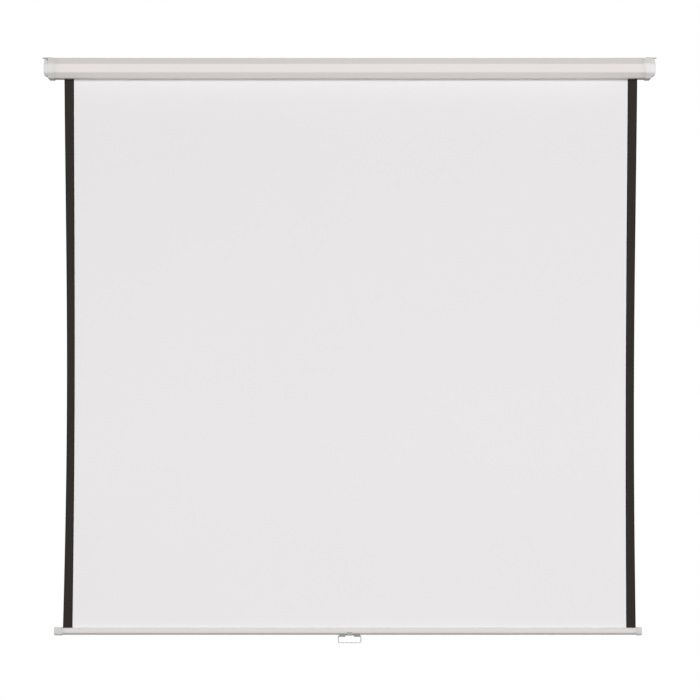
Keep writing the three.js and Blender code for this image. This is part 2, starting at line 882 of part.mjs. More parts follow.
function barRing(inset, x) {
  const y = barDepth / 2 - inset;
  const chain = [
    at(0, -inset),
    at(y, -inset),
    at(y, inset - barHeight),
    at(-y, inset - barHeight),
    at(-y, -inset),
    at(0, -inset),
  ];
  const radii = chain.slice(1, -1).map(() => Math.max(barRadius - inset, barWall));
  return { x, outline: filleted(chain, radii).slice(0, -1) };
}

function barCap(side, length) {
  const end = barLength / 2;
  const collar = loftX([
    barRing(-barCapProud, end),
    barRing(-barCapProud, end + length - barCapProud),
    barRing(0, end + length),
  ]);
  const plugInset = barWall + gap;
  const inner = end - barCapPlug;
  const plugBody = loftX([barRing(plugInset, inner), barRing(plugInset, end + overrun)]);
  const hollow = loftX([
    barRing(plugInset + barCapWall, inner - overrun),
    barRing(plugInset + barCapWall, end + length - barCapWall * 2),
  ]);
  const rodWay = boxBetween(
    inner - overrun, end,
    -hemRadius - fitGap, hemRadius + fitGap,
    hemZ - barTop - hemRadius - fitGap, overrun - barWall,
  );
  return onSide(combine([collar, plugBody], [hollow, rodWay]), side);
}

function rod(inner, outer) {
  const body = inner > 0
    ? tubeX(inner, outer, -halfWidth, halfWidth, smallSteps)
    : rodX(outer, -halfWidth, halfWidth);
  return body.translate(0, 0, hemZ - barTop);
}

add(bar, 'bottom_bar', bottomBar(), barAluminium());
add(bar, 'left_bar_cap', barCap(-1, barCapLeft), capPlastic());
add(bar, 'right_bar_cap', barCap(1, barCapRight), capPlastic());
add(bar, 'hem_rod', rod(0, hemRodRadius), zincSteel());
add(bar, 'sheet_hem', rod(hemRodRadius + gap, hemRadius), sheetWhite());

// Pull handle bracket: a plate under the bar with a front tab and two rolled knuckles

const pull = groupAt(0, sheetY, hingeZ);

function pullBracket() {
  const halfTab = pullTabWidth / 2;
  const tabFront = tabFace - pullPlate;
  const halfDepth = pullPlateDepth / 2;
  const plate = boxBetween(-knuckleEnd, knuckleEnd, -halfDepth, halfDepth, plateBottom, plateTop);
  const foot = boxBetween(-halfTab, halfTab, tabFront, 0, plateBottom, plateTop);
  const tab = boxBetween(-halfTab, halfTab, tabFront, tabFace, plateBottom, plateTop + pullTabHeight);
  const knuckles = [-1, 1].map((side) => onSide(rodX(knuckleRadius, knuckleStart, knuckleEnd), side));
  const wireBores = [-1, 1].map((side) =>
    onSide(rodX(wireRadius + gap, knuckleStart - overrun, knuckleEnd + overrun), side));
  const reach = 2 * (pullPlate + overrun);
  const frontBore = boreAlong(screwBore, reach).translate(0, tabFace - pullPlate / 2, tabScrewZ);
  const underBore = boreAlong(screwBore, reach).rotateX(Math.PI / 2)
    .translate(0, 0, plateBottom + pullPlate / 2);
  return combine([plate, foot, tab, ...knuckles], [...wireBores, frontBore, underBore]);
}

// The pull: a wire bent into a flat loop whose ends turn inwards into the knuckles
function pullWire() {
  const leg = pullWidth / 2;
  const end = knuckleStart + gap;
  const corners = [at(-end, 0), at(-leg, 0), at(-leg, -pullDrop), at(leg, -pullDrop), at(leg, 0), at(end, 0)];
  const bends = filleted(corners, [kneeBend, wireBend, wireBend, kneeBend], bendSteps);
  const path = new THREE.CurvePath();
  for (let k = 0; k + 1 < bends.length; k++) {
    const [from, to] = [bends[k], bends[k + 1]];
    path.add(new THREE.LineCurve3(new THREE.Vector3(from.x, 0, from.y), new THREE.Vector3(to.x, 0, to.y)));
  }
  const section = polygon(wireRadius, wireSides);
  return closed(new THREE.ExtrudeGeometry(section, { extrudePath: path, steps: wireSteps }));
}

add(pull, 'pull_bracket', pullBracket(), zincSteel());
add(pull, 'pull_screw_front', panScrew(0, pullScrewLength).rotateZ(-Math.PI / 2), zincSteel())
  .position.set(0, tabFace - pullPlate, tabScrewZ);
add(pull, 'pull_screw_under', panScrew(0, pullScrewLength).rotateY(Math.PI / 2), zincSteel())
  .position.set(0, 0, plateBottom);
add(pull, 'pull_handle', pullWire(), brightWire());

export default part;
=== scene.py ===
"""The finished look of a pull down projector screen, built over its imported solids.

Lengths in the classes are millimetres, as in the part's source; Blender's are metres.
+X is right as seen by the viewer, the front faces -Y, the wall is y = 0 and +Z is up.
"""

import json
import logging
import math
from collections.abc import Mapping, Sequence
from dataclasses import dataclass, field
from enum import Enum
from functools import cache

import bmesh
import bpy
import numpy as np
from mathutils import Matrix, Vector

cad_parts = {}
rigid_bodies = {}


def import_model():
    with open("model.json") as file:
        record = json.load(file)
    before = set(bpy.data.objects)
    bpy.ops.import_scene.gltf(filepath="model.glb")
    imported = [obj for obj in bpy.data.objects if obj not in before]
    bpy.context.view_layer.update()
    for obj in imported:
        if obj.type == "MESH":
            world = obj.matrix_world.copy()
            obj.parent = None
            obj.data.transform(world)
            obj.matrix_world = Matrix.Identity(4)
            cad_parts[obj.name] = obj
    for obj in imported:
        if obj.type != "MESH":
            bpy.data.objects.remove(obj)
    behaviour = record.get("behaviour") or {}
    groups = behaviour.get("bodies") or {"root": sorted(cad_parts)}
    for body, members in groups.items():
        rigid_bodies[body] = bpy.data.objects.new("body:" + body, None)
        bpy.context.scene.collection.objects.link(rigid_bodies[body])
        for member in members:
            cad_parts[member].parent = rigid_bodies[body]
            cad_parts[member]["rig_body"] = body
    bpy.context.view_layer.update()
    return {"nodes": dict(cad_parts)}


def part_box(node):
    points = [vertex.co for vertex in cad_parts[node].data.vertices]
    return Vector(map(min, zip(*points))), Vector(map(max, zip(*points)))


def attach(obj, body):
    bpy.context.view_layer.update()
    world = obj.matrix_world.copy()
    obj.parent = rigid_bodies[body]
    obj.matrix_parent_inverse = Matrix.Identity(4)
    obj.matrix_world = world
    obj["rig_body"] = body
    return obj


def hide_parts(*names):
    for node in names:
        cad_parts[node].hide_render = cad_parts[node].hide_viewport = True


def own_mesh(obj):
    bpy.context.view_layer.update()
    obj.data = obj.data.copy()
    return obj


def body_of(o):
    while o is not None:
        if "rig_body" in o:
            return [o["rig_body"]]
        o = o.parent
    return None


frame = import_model()

Colour = tuple[float, float, float]
Point2 = tuple[float, float]
Point3 = tuple[float, float, float]

MM = 0.001
LOG = logging.getLogger("projector screen")

ROLLER_AXIS: Point2 = (-31.0, 2.0)
SHEET_PLANE = -13.1
CLEARANCE = 0.3
OVERRUN = 1.0
DOUBLED = 2e-3
VANISHING = 1e-4
HARD_EDGE = 32.0
RIM_STEPS = 2


def linear(colour: Colour, factor: float = 1.0) -> tuple[float, float, float, float]:
    """Turns a colour as a screen shows it into the linear one that a shader takes.

    Args:
        colour: red, green and blue from 0 to 255.
        factor: what the linear values are multiplied by.

    Returns:
        Red, green, blue and a full alpha.
    """
    parts = [part / 255 for part in colour]
    bent = [p / 12.92 if p <= 0.04045 else ((p + 0.055) / 1.055) ** 2.4 for p in parts]
    return (*[min(1.0, part * factor) for part in bent], 1.0)


class Wire:
    """A node's output in a tree, with the arithmetic that adds Math nodes to it."""

    def __init__(self, graph: "Graph", socket: bpy.types.NodeSocket) -> None:
        """Wraps one output socket of a graph."""
        self.graph = graph
        self.socket = socket

    def __add__(self, other: "Wire | float") -> "Wire":
        """Gives this plus the other."""
        return self.graph.math("ADD", self, other)

    def __radd__(self, other: float) -> "Wire":
        """Gives the other plus this."""
        return self.graph.math("ADD", other, self)

    def __sub__(self, other: "Wire | float") -> "Wire":
        """Gives this less the other."""
        return self.graph.math("SUBTRACT", self, other)

    def __rsub__(self, other: float) -> "Wire":
        """Gives the other less this."""
        return self.graph.math("SUBTRACT", other, self)

    def __mul__(self, other: "Wire | float") -> "Wire":
        """Gives this times the other."""
        return self.graph.math("MULTIPLY", self, other)

    def __rmul__(self, other: float) -> "Wire":
        """Gives the other times this."""
        return self.graph.math("MULTIPLY", other, self)

    def __truediv__(self, other: "Wire | float") -> "Wire":
        """Gives this divided by the other."""
        return self.graph.math("DIVIDE", self, other)

    def __pow__(self, power: "Wire | float") -> "Wire":
        """Gives this to a power."""
        return self.graph.math("POWER", self, power)

    def sine(self) -> "Wire":
        """Gives the sine of this."""
        return self.graph.math("SINE", self)

    def cosine(self) -> "Wire":
        """Gives the cosine of this."""
        return self.graph.math("COSINE", self)

    def size(self) -> "Wire":
        """Gives this without its sign."""
        return self.graph.math("ABSOLUTE", self)

    def sign(self) -> "Wire":
        """Gives -1, 0 or 1."""
        return self.graph.math("SIGN", self)

    def least(self, other: "Wire | float") -> "Wire":
        """Gives the smaller of this and the other."""
        return self.graph.math("MINIMUM", self, other)

    def most(self, other: "Wire | float") -> "Wire":
        """Gives the larger of this and the other."""
        return self.graph.math("MAXIMUM", self, other)

    def share(self) -> "Wire":
        """Gives this kept between 0 and 1."""
        return self.most(0.0).least(1.0)


class Graph:
    """A node tree in the making, for a material, a world or a geometry."""

    def __init__(self, tree: bpy.types.NodeTree) -> None:
        """Starts on a tree."""
        self.tree = tree

    def node(
        self,
        kind: str,
        settings: Mapping[str, object] | None = None,
        inputs: Mapping[str, object] | None = None,
    ) -> bpy.types.Node:
        """Adds a node of any kind.

        Args:
            kind: the node's type name.
            settings: its own settings, such as a Math node's operation, which are set first.
            inputs: values or wires for its sockets, by identifier or name.

        Returns:
            The new node.
        """
        made = self.tree.nodes.new(kind)
        for name, value in (settings or {}).items():
            setattr(made, name, value)
        for name, value in (inputs or {}).items():
            self._feed(self._socket(made.inputs, name), value)
        return made

    def wire(
        self,
        kind: str,
        output: str,
        settings: Mapping[str, object] | None = None,
        inputs: Mapping[str, object] | None = None,
    ) -> Wire:
        """Adds a node and gives one of its outputs.

        Args:
            kind: the node's type name.
            output: the output's identifier or name.
            settings: its own settings.
            inputs: values or wires for its sockets.

        Returns:
            The output as a wire.
        """
        return Wire(self, self._socket(self.node(kind, settings, inputs).outputs, output))

    def math(self, operation: str, *values: "Wire | float") -> Wire:
        """Adds a Math node.

        Args:
            operation: what it does.
            values: wires or numbers, in the node's order.

        Returns:
            The result.
        """
        made = self.node("ShaderNodeMath", {"operation": operation})
        for socket, value in zip(made.inputs, values):
            self._feed(socket, value)
        return Wire(self, made.outputs[0])

    def mix(self, factor: "Wire | float", first: object, second: object) -> Wire:
        """Mixes two colours.

        Args:
            factor: 0 for the first, 1 for the second.
            first: a colour or a wire of one.
            second: a colour or a wire of one.

        Returns:
            The mixed colour.
        """
        sockets = {"Factor_Float": factor, "A_Color": first, "B_Color": second}
        return self.wire("ShaderNodeMix", "Result_Color", {"data_type": "RGBA"}, sockets)

    def place(self, stretch: Point3 = (1.0, 1.0, 1.0)) -> Wire:
        """Gives the piece's own coordinates, in metres, stretched along the axes."""
        start = self.wire("ShaderNodeTexCoord", "Object")
        return self.wire("ShaderNodeMapping", "Vector", None, {"Vector": start, "Scale": stretch})

    def parts(self, vector: Wire) -> tuple[Wire, Wire, Wire]:
        """Splits a vector into its three numbers."""
        made = self.node("ShaderNodeSeparateXYZ", None, {"Vector": vector})
        x, y, z = (Wire(self, output) for output in made.outputs)
        return x, y, z

    def joined(self, x: object, y: object, z: object) -> Wire:
        """Makes a vector of three numbers or wires."""
        return self.wire("ShaderNodeCombineXYZ", "Vector", None, {"X": x, "Y": y, "Z": z})

    def bump(self, height: Wire, depth: float, below: Wire | None = None) -> Wire:
        """Turns a height into a normal.

        Args:
            height: from 0 to 1.
            depth: how deep 1 is, in millimetres.
            below: a normal that this one lies on.

        Returns:
            The normal.
        """
        sockets: dict[str, object] = {"Height": height, "Distance": depth * MM, "Strength": 1.0}
        if below is not None:
            sockets["Normal"] = below
        return self.wire("ShaderNodeBump", "Normal", None, sockets)

    def seen_by(self, *rays: str) -> Wire:
        """Gives 1 for these kinds of ray, such as Camera, and 0 for the rays that only light."""
        path = self.node("ShaderNodeLightPath")
        first, *others = (Wire(self, path.outputs[f"Is {ray} Ray"]) for ray in rays)
        return sum(others, first).share()

    def _socket(self, sockets: Sequence[bpy.types.NodeSocket], name: str) -> bpy.types.NodeSocket:
        """Finds a socket by its identifier, or else by its name among those in use."""
        for socket in sockets:
            if socket.identifier == name:
                return socket
        return next(socket for socket in sockets if socket.name == name and socket.enabled)

    def _feed(self, socket: bpy.types.NodeSocket, value: object) -> None:
        """Links a wire to an input, or sets the input to a value."""
        if isinstance(value, Wire):
            self.tree.links.new(value.socket, socket)
        else:
            socket.default_value = value


# Finishes


@dataclass(frozen=True)
class Noise:
    """A noise: how many of its grains a metre holds, and how many and strong finer layers."""

    scale: float
    layers: float = 2.0
    strength: float = 0.5

    def over(self, place: Wire) -> Wire:
        """Adds the noise over some coordinates, and gives its value, about 0.5 on average."""
        sockets = {
            "Vector": place, "Scale": self.scale, "Detail": self.layers, "Roughness": self.strength
        }
        return place.graph.wire("ShaderNodeTexNoise", "Fac", None, sockets)


@dataclass(frozen=True)
class Finish:
    """What every finish has: a name, a colour as seen, and how dull, metallic and shiny it is.

    The spread is the share by which its linear colour goes up and down over the surface, and
    the unevenness is the range of its roughness there.
    """

    name: str
    colour: Colour
    roughness: float
    metallic: float = 0.0
    specular: float = 0.5
    spread: float = 0.02
    unevenness: float = 0.1

    def material(self) -> bpy.types.Material:
        """Gives the finish's material, which is made at its first use."""
        known = bpy.data.materials.get(self.name)
        if known is not None:
            return known
        made = bpy.data.materials.new(self.name)
        made.use_nodes = True
        made.node_tree.nodes.clear()
        made.diffuse_color = linear(self.colour)
        graph = Graph(made.node_tree)
        start = {
            "Base Color": linear(self.colour),
            "Roughness": self.roughness,
            "Metallic": self.metallic,
            "Specular IOR Level": self.specular,
        }
        shader = graph.node("ShaderNodeBsdfPrincipled", None, start)
        for name, wire in self.detail(graph).items():
            graph.tree.links.new(wire.socket, shader.inputs[name])
        surface = Wire(graph, shader.outputs["BSDF"])
        graph.node("ShaderNodeOutputMaterial", None, {"Surface": surface})
        return made

    def detail(self, graph: Graph) -> dict[str, Wire]:
        """Adds what varies over the surface, which each kind of finish says for itself.

        Args:
            graph: the material's tree.

        Returns:
            A wire for each of the shader's sockets that it feeds.
        """
        raise NotImplementedError

    def clouded(self, cloud: Wire) -> Wire:
        """Gives the colour, a little darker and lighter by a noise."""
        low, high = (linear(self.colour, 1 + part) for part in (-self.spread, self.spread))
        return cloud.graph.mix(cloud, low, high)

    def uneven(self, noise: Wire) -> Wire:
        """Gives the roughness, a little higher and lower by a noise."""
        return self.roughness + (noise - 0.5) * self.unevenness


@dataclass(frozen=True)
class PowderCoat(Finish):
    """Paint baked on metal: fine orange peel and paler along bent edges.

    It is painted darker about one height, as painted shade, and near white below another, as
    painted light.
    """

    rubbed: tuple[Point2, ...] = ()
    rubbed_width: float = 2.5
    rubbed_tone: float = 1.12
    rubbed_share: float = 0.5
    rubbed_gloss: float = 0.08
    rubbed_patches: Noise = Noise(45.0, 3.0)
    worn_patches: Noise = Noise(30.0)
    worn_share: float = 0.2
    # painted shade: a darker, patchy line about one height, standing in for the shade under a
    # rounded edge
    shade_line_at: float | None = None
    shade_line_width: float = 4.5
    shade_line_tone: float = 0.6
    shade_line_least: float = 0.85
    shade_line_swing: float = 0.3
    # painted light: near-white paint below a height, standing in for light on an underside
    painted_light_below: float | None = None
    painted_light_step: float = 0.6
    painted_light_colour: Colour = (253, 251, 249)
    cloud: Noise = Noise(7.0, 4.0, 0.55)
    cloud_stretch: Point3 = (0.4, 1.0, 1.0)
    peel: Noise = Noise(620.0, 2.0, 0.45)
    peel_depth: float = 0.02
    grain: Noise = Noise(2400.0, 1.0)
    grain_depth: float = 0.004

    def detail(self, graph: Graph) -> dict[str, Wire]:
        """Adds the orange peel, faint clouds, rubbed edges, painted shade and painted light, and
        gives their wires.
        """
        place = graph.place()
        cloud = self.cloud.over(graph.place(self.cloud_stretch))
        peel, grain = self.peel.over(place), self.grain.over(place)
        colour = self.clouded(cloud)
        rub = self.rubbing(graph, place) * self.rubbed_patches.over(place)
        paler = linear(self.colour, self.rubbed_tone)
        colour = graph.mix(rub * self.rubbed_share, colour, paler)
        _, _, up = graph.parts(place)
        # painted shade: darkens a patchy line about one height
        if self.shade_line_at is not None:
            near = (1 - (up - self.shade_line_at * MM).size() / (self.shade_line_width * MM)).share()
            shade_line_colour = linear(self.colour, self.shade_line_tone)
            patchy_shade = near * (self.shade_line_least + cloud * self.shade_line_swing)
            colour = graph.mix(patchy_shade, colour, shade_line_colour)
        # painted light: turns the paint near white below a height
        if self.painted_light_below is not None:
            under = ((self.painted_light_below * MM - up) / (self.painted_light_step * MM)).share()
            colour = graph.mix(under, colour, linear(self.painted_light_colour))
        return {
            "Base Color": colour,
            "Roughness": self.uneven(peel) - rub * self.rubbed_gloss,
            "Normal": graph.bump(grain, self.grain_depth, graph.bump(peel, self.peel_depth)),
        }

    def rubbing(self, graph: Graph, place: Wire) -> Wire:
        """Gives 1 on the bent edges and 0 away from them, or faint patches where none are named.

        Args:
            graph: the material's tree.
            place: the piece's own coordinates.

        Returns:
            The strength of the rubbing.
        """
        _, across, up = graph.parts(place)
        total: Wire | float = 0.0
        for y, z in self.rubbed:
            far = ((across - y * MM) ** 2 + (up - z * MM) ** 2) ** 0.5
            total = (1 - far / (self.rubbed_width * MM)).share() + total
        return total if self.rubbed else self.worn_patches.over(place) * self.worn_share


@dataclass(frozen=True)
class MouldedPlastic(Finish):
    """Moulded plastic with a fine spark eroded grain and faint flow clouds."""

    spread: float = 0.025
    unevenness: float = 0.12
    grain_depth: float = 0.012
    grain_scale: float = 1600.0
    fine: Noise = Noise(3500.0, 1.0)
    fine_share: float = 0.5
    cloud: Noise = Noise(35.0, 3.0, 0.6)

    def detail(self, graph: Graph) -> dict[str, Wire]:
        """Adds the grain and clouds, and gives their wires."""
        place = graph.place()
        cells = {"Vector": place, "Scale": self.grain_scale}
        grain = graph.wire("ShaderNodeTexVoronoi", "Distance", None, cells)
        fine = self.fine.over(place)
        return {
            "Base Color": self.clouded(self.cloud.over(place)),
            "Roughness": self.uneven(fine),
            "Normal": graph.bump(grain + fine * self.fine_share, self.grain_depth),
        }


@dataclass(frozen=True)
class CoatedCloth(Finish):
    """Matt coated cloth, which may be darkened toward its top by a painted shade.

    Its own UV map holds metres along the width and the height.
    """

    spread: float = 0.015
    thread: float = 0.9
    thread_depth: float = 0.012
    slubs: Noise = Noise(300.0, 3.0, 0.6)
    slub_share: float = 0.3
    slub_depth: float = 0.6
    cloud: Noise = Noise(2.5, 4.0, 0.6)
    clean_edge: float = 0.0
    clean_share: float = 0.6
    clean_colour: Colour = (244, 243, 244)
    # painted shade: darker toward the top, standing in for the case's shadow on the sheet
    top_shade: float = 0.0
    top_shade_tone: float = 0.5
    top_shade_from: float = -1200.0

    def weave_place(self, graph: Graph) -> Wire:
        """Gives the place on the flat cloth, in metres."""
        return graph.wire("ShaderNodeUVMap", "UV", {"uv_map": Cloth.uv_name})

    def detail(self, graph: Graph) -> dict[str, Wire]:
        """Adds the weave that shows through the coating, and gives its wires."""
        place = self.weave_place(graph)
        along, down, _ = graph.parts(place)
        turn = 2 * math.pi / (self.thread * MM)
        weave = (along * turn).sine() * (down * turn).sine() * 0.5 + 0.5
        slubs = self.slubs.over(place)
        cloud = self.cloud.over(place) * (1 - self.slub_share) + slubs * self.slub_share
        colour = self.clouded(cloud)
        # painted shade: darkens the cloth toward its top
        if self.top_shade > 0:
            high = (1 - down / (self.top_shade_from * MM)).share()
            top_shade_colour = linear(self.colour, self.top_shade_tone)
            colour = graph.mix(high * self.top_shade, colour, top_shade_colour)
        if self.clean_edge > 0:
            near = 1 - ((Cloth.seam * MM - along.size()) / (self.clean_edge * MM)).size()
            clean = linear(self.clean_colour)
            colour = graph.mix(near.share() * self.clean_share, colour, clean)
        return {
            "Base Color": colour,
            "Roughness": self.uneven(slubs),
            "Normal": graph.bump(weave + slubs * self.slub_depth, self.thread_depth),
        }


@dataclass(frozen=True)
class PrintedBorder(CoatedCloth):
    """The black border: ink on the same weave, thicker and blacker along its two edges."""

    edge_colour: Colour = (16, 13, 12)
    edge_width: float = 3.5

    def detail(self, graph: Graph) -> dict[str, Wire]:
        """Adds the darker edges to the weave, and gives the wires."""
        wires = super().detail(graph)
        along, _, _ = graph.parts(self.weave_place(graph))
        inner = along.size() - Cloth.seam * MM
        outer = Cloth.half_width * MM - along.size()
        edge = (1 - inner.least(outer) / (self.edge_width * MM)).share()
        wires["Base Color"] = graph.mix(edge, wires["Base Color"], linear(self.edge_colour))
        return wires


@dataclass(frozen=True)
class PlatedSteel(Finish):
    """Zinc plated or drawn steel: faint rolled lines along X, and mottled gloss."""

    spread: float = 0.1
    unevenness: float = 0.25
    lines: Noise = Noise(2200.0)
    line_depth: float = 0.002
    line_stretch: Point3 = (0.04, 1.0, 1.0)
    mottle: Noise = Noise(120.0, 4.0, 0.65)
    stain: Noise = Noise(25.0, 3.0)
    stain_share: float = 0.35
    stain_tone: float = 0.7

    def detail(self, graph: Graph) -> dict[str, Wire]:
        """Adds the rolled lines and mottling, and gives their wires."""
        place = graph.place()
        mottle = self.mottle.over(place)
        lines = self.lines.over(graph.place(self.line_stretch))
        stain = self.stain.over(place) * self.stain_share
        stained = linear(self.colour, self.stain_tone)
        return {
            "Base Color": graph.mix(stain, self.clouded(mottle), stained),
            "Roughness": self.uneven(mottle),
            "Normal": graph.bump(lines, self.line_depth),
        }


@dataclass(frozen=True)
class GalvanisedTube(Finish):
    """Galvanised sheet steel, with the flat crystals that the zinc grows."""

    spread: float = 0.16
    unevenness: float = 0.18
    crystal: float = 9.0
    fine: Noise = Noise(900.0)
    fine_depth: float = 0.003

    def detail(self, graph: Graph) -> dict[str, Wire]:
        """Adds the crystals, and gives their wires."""
        place = graph.place()
        cells = {"Vector": place, "Scale": 1 / (self.crystal * MM), "Randomness": 1.0}
        tone, _, _ = graph.parts(graph.wire("ShaderNodeTexVoronoi", "Color", None, cells))
        return {
            "Base Color": self.clouded(tone),
            "Roughness": self.uneven(tone),
            "Normal": graph.bump(self.fine.over(place), self.fine_depth),
        }


@dataclass(frozen=True)
class StudioFloor(Finish):
    """A floor that is pale where it is seen, throws little light back and fades out at its edge.

    Its reach is the half width and half depth of the oval in which it is seen, in metres. It
    isn't seen from below.
    """

    spread: float = 0.01
    cloud: Noise = Noise(3.0, 3.0)
    thrown: Colour = (110, 110, 108)
    reach: Point2 = (2.6, 2.25)
    fading: float = 1.6

    def detail(self, graph: Graph) -> dict[str, Wire]:
        """Adds the two colours, faint clouds and the fading edge, and gives their wires."""
        seen = graph.seen_by("Camera", "Glossy")
        place = graph.place()
        pale = self.clouded(self.cloud.over(place))
        across, deep, _ = graph.parts(place)
        far = ((across / self.reach[0]) ** 2 + (deep / self.reach[1]) ** 2) ** 0.5
        from_below = graph.wire("ShaderNodeNewGeometry", "Backfacing")
        return {
            "Base Color": graph.mix(seen, linear(self.thrown), pale),
            "Alpha": ((1 - far) * self.fading).share() * (1 - from_below),
        }


# Where the case's four bent edges run, in y and z
CASE_EDGES = ((-41.0, 32.0), (-62.0, 9.0), (-62.0, -16.0), (-45.0, -32.0))


class Finishes(Enum):
    """Every finish on the object."""

    # painted light: the case's underside below z = -31 mm is painted near white
    CASE = PowderCoat(
        "case powder coat", (229, 224, 221), 0.55, 0.0, 0.35, rubbed=CASE_EDGES, painted_light_below=-31.0
    )
    # painted shade: a dark line is painted along the bar's lower front rounding
    BAR = PowderCoat("bar powder coat", (221, 217, 215), 0.5, 0.0, 0.35, shade_line_at=-1772.8)
    # painted shade and light: both end caps are one plastic, painted darker at the left and
    # lighter at the right
    LEFT_CAP = MouldedPlastic("left cap plastic", (222, 221, 220), 0.5, 0.0, 0.3)
    RIGHT_CAP = MouldedPlastic("right cap plastic", (231, 230, 229), 0.5, 0.0, 0.3)
    BAR_CAP = MouldedPlastic("bar cap plastic", (208, 207, 206), 0.5, 0.0, 0.3)
    # painted shade: the sheet is painted darker toward its top, under the case
    CLOTH = CoatedCloth(
        "matt white cloth", (235, 233, 234), 0.9, 0.0, 0.15, clean_edge=4.0, top_shade=0.1
    )
    BACKING = CoatedCloth("black cloth backing", (38, 38, 40), 0.85, 0.0, 0.2, thread_depth=0.03)
    BORDER = PrintedBorder("black border ink", (50, 46, 43), 0.85, 0.0, 0.1)
    ZINC = PlatedSteel("zinc plated steel", (150, 150, 149), 0.4, 0.9)
    PLATE = PlatedSteel("bright plated steel", (184, 184, 183), 0.4, 0.9)
    SPRING = PlatedSteel("oiled spring steel", (106, 108, 111), 0.35, 0.95)
    TUBE = GalvanisedTube("galvanised roller steel", (166, 168, 170), 0.42, 0.9)
    NYLON = MouldedPlastic("natural nylon", (214, 212, 204), 0.55, grain_depth=0.006)
    WIRE = PlatedSteel("bright pull wire", (186, 186, 187), 0.25, 1.0)

    def material(self) -> bpy.types.Material:
        """Gives this finish's material."""
        return self.value.material()


# Outlines in the (y, z) plane


def unit(vector: np.ndarray) -> np.ndarray:
    """Gives a vector of length 1 in the same direction."""
    return vector / np.linalg.norm(vector)


def cross2(first: np.ndarray, second: np.ndarray) -> float:
    """Gives the cross product of two flat vectors."""
    return float(first[0] * second[1] - first[1] * second[0])


def offset_chain(corners: Sequence[Point2] | np.ndarray, distance: float) -> np.ndarray:
    """Moves every side of an open chain of corners to its left.

    Args:
        corners: the chain.
        distance: how far; less than 0 moves them to the right.

    Returns:
        The moved chain, with as many corners.
    """
    chain = np.asarray(corners, float)
    along = np.array([unit(step) for step in np.diff(chain, axis=0)])
    left = np.stack([-along[:, 1], along[:, 0]], axis=1) * distance
    starts = chain[:-1] + left
    moved = [starts[0]]
    for i in range(1, len(starts)):
        reach = cross2(starts[i] - starts[i - 1], along[i]) / cross2(along[i - 1], along[i])
        moved.append(starts[i - 1] + along[i - 1] * reach)
    moved.append(chain[-1] + left[-1])
    return np.array(moved)


def filleted(
    corners: Sequence[Point2] | np.ndarray, radii: Sequence[float], steps: int = 10
) -> np.ndarray:
    """Rounds the inner corners of an open chain.

    Args:
        corners: the chain.
        radii: a radius for each inner corner.
        steps: how many sides each round has.

    Returns:
        The points of the rounded chain.
    """
    chain = np.asarray(corners, float)
    points = [chain[0]]
    for i, radius in enumerate(radii, start=1):
        before, after = unit(chain[i - 1] - chain[i]), unit(chain[i + 1] - chain[i])
        half = math.acos(float(np.clip(before @ after, -1, 1))) / 2
        centre = chain[i] + unit(before + after) * radius / math.sin(half)
        first = chain[i] + before * radius / math.tan(half) - centre
        last = chain[i] + after * radius / math.tan(half) - centre
        turn = math.atan2(cross2(first, last), float(first @ last))
        for k in range(steps + 1):
            c, s = math.cos(turn * k / steps), math.sin(turn * k / steps)
            points.append(centre + (first[0] * c - first[1] * s, first[0] * s + first[1] * c))
    points.append(chain[-1])
    return np.array(points)


def wall_chains(
    corners: Sequence[Point2] | np.ndarray, radii: Sequence[float], wall: float, least: float = 0.4
) -> tuple[np.ndarray, np.ndarray]:
    """Gives the outer and inner side of a wall that follows an open chain.

    Args:
        corners: the chain along the wall's outer side.
        radii: the outer radius of each inner corner.
        wall: the wall's thickness, to the chain's right.
        least: the smallest inner radius.

    Returns:
        The outer and the inner points, equally many.
    """
    inner = offset_chain(corners, -wall)
    return filleted(corners, radii), filleted(inner, [max(r - wall, least) for r in radii])


def quarter_round(steps: int) -> list[Point2]:
    """Divides a quarter circle of radius 1 into equal turns.

    Args:
        steps: how many there are.

    Returns:
        For each point, how far it has risen and how far it has gone in, both from 0 to 1.
    """
    turns = [k / steps * math.pi / 2 for k in range(steps + 1)]
    return [(math.sin(turn), 1 - math.cos(turn)) for turn in turns]


def lengths_along(chain: np.ndarray) -> np.ndarray:
    """Gives how far along a chain each of its points is."""
    return np.concatenate([[0], np.cumsum(np.linalg.norm(np.diff(chain, axis=0), axis=1))])


def spaced(points: np.ndarray, guide: np.ndarray, step: float) -> np.ndarray:
    """Adds points along the sides of a chain that are longer than a step.

    Args:
        points: the chain.
        guide: a chain with as many points, whose sides say how many are added.
        step: the longest side that is left as it is.

    Returns:
        The denser chain.
    """
    made = []
    for i in range(len(points) - 1):
        count = max(1, math.ceil(float(np.linalg.norm(guide[i + 1] - guide[i])) / step))
        made += [points[i] + (points[i + 1] - points[i]) * k / count for k in range(count)]
    return np.array([*made, points[-1]])


# Meshes


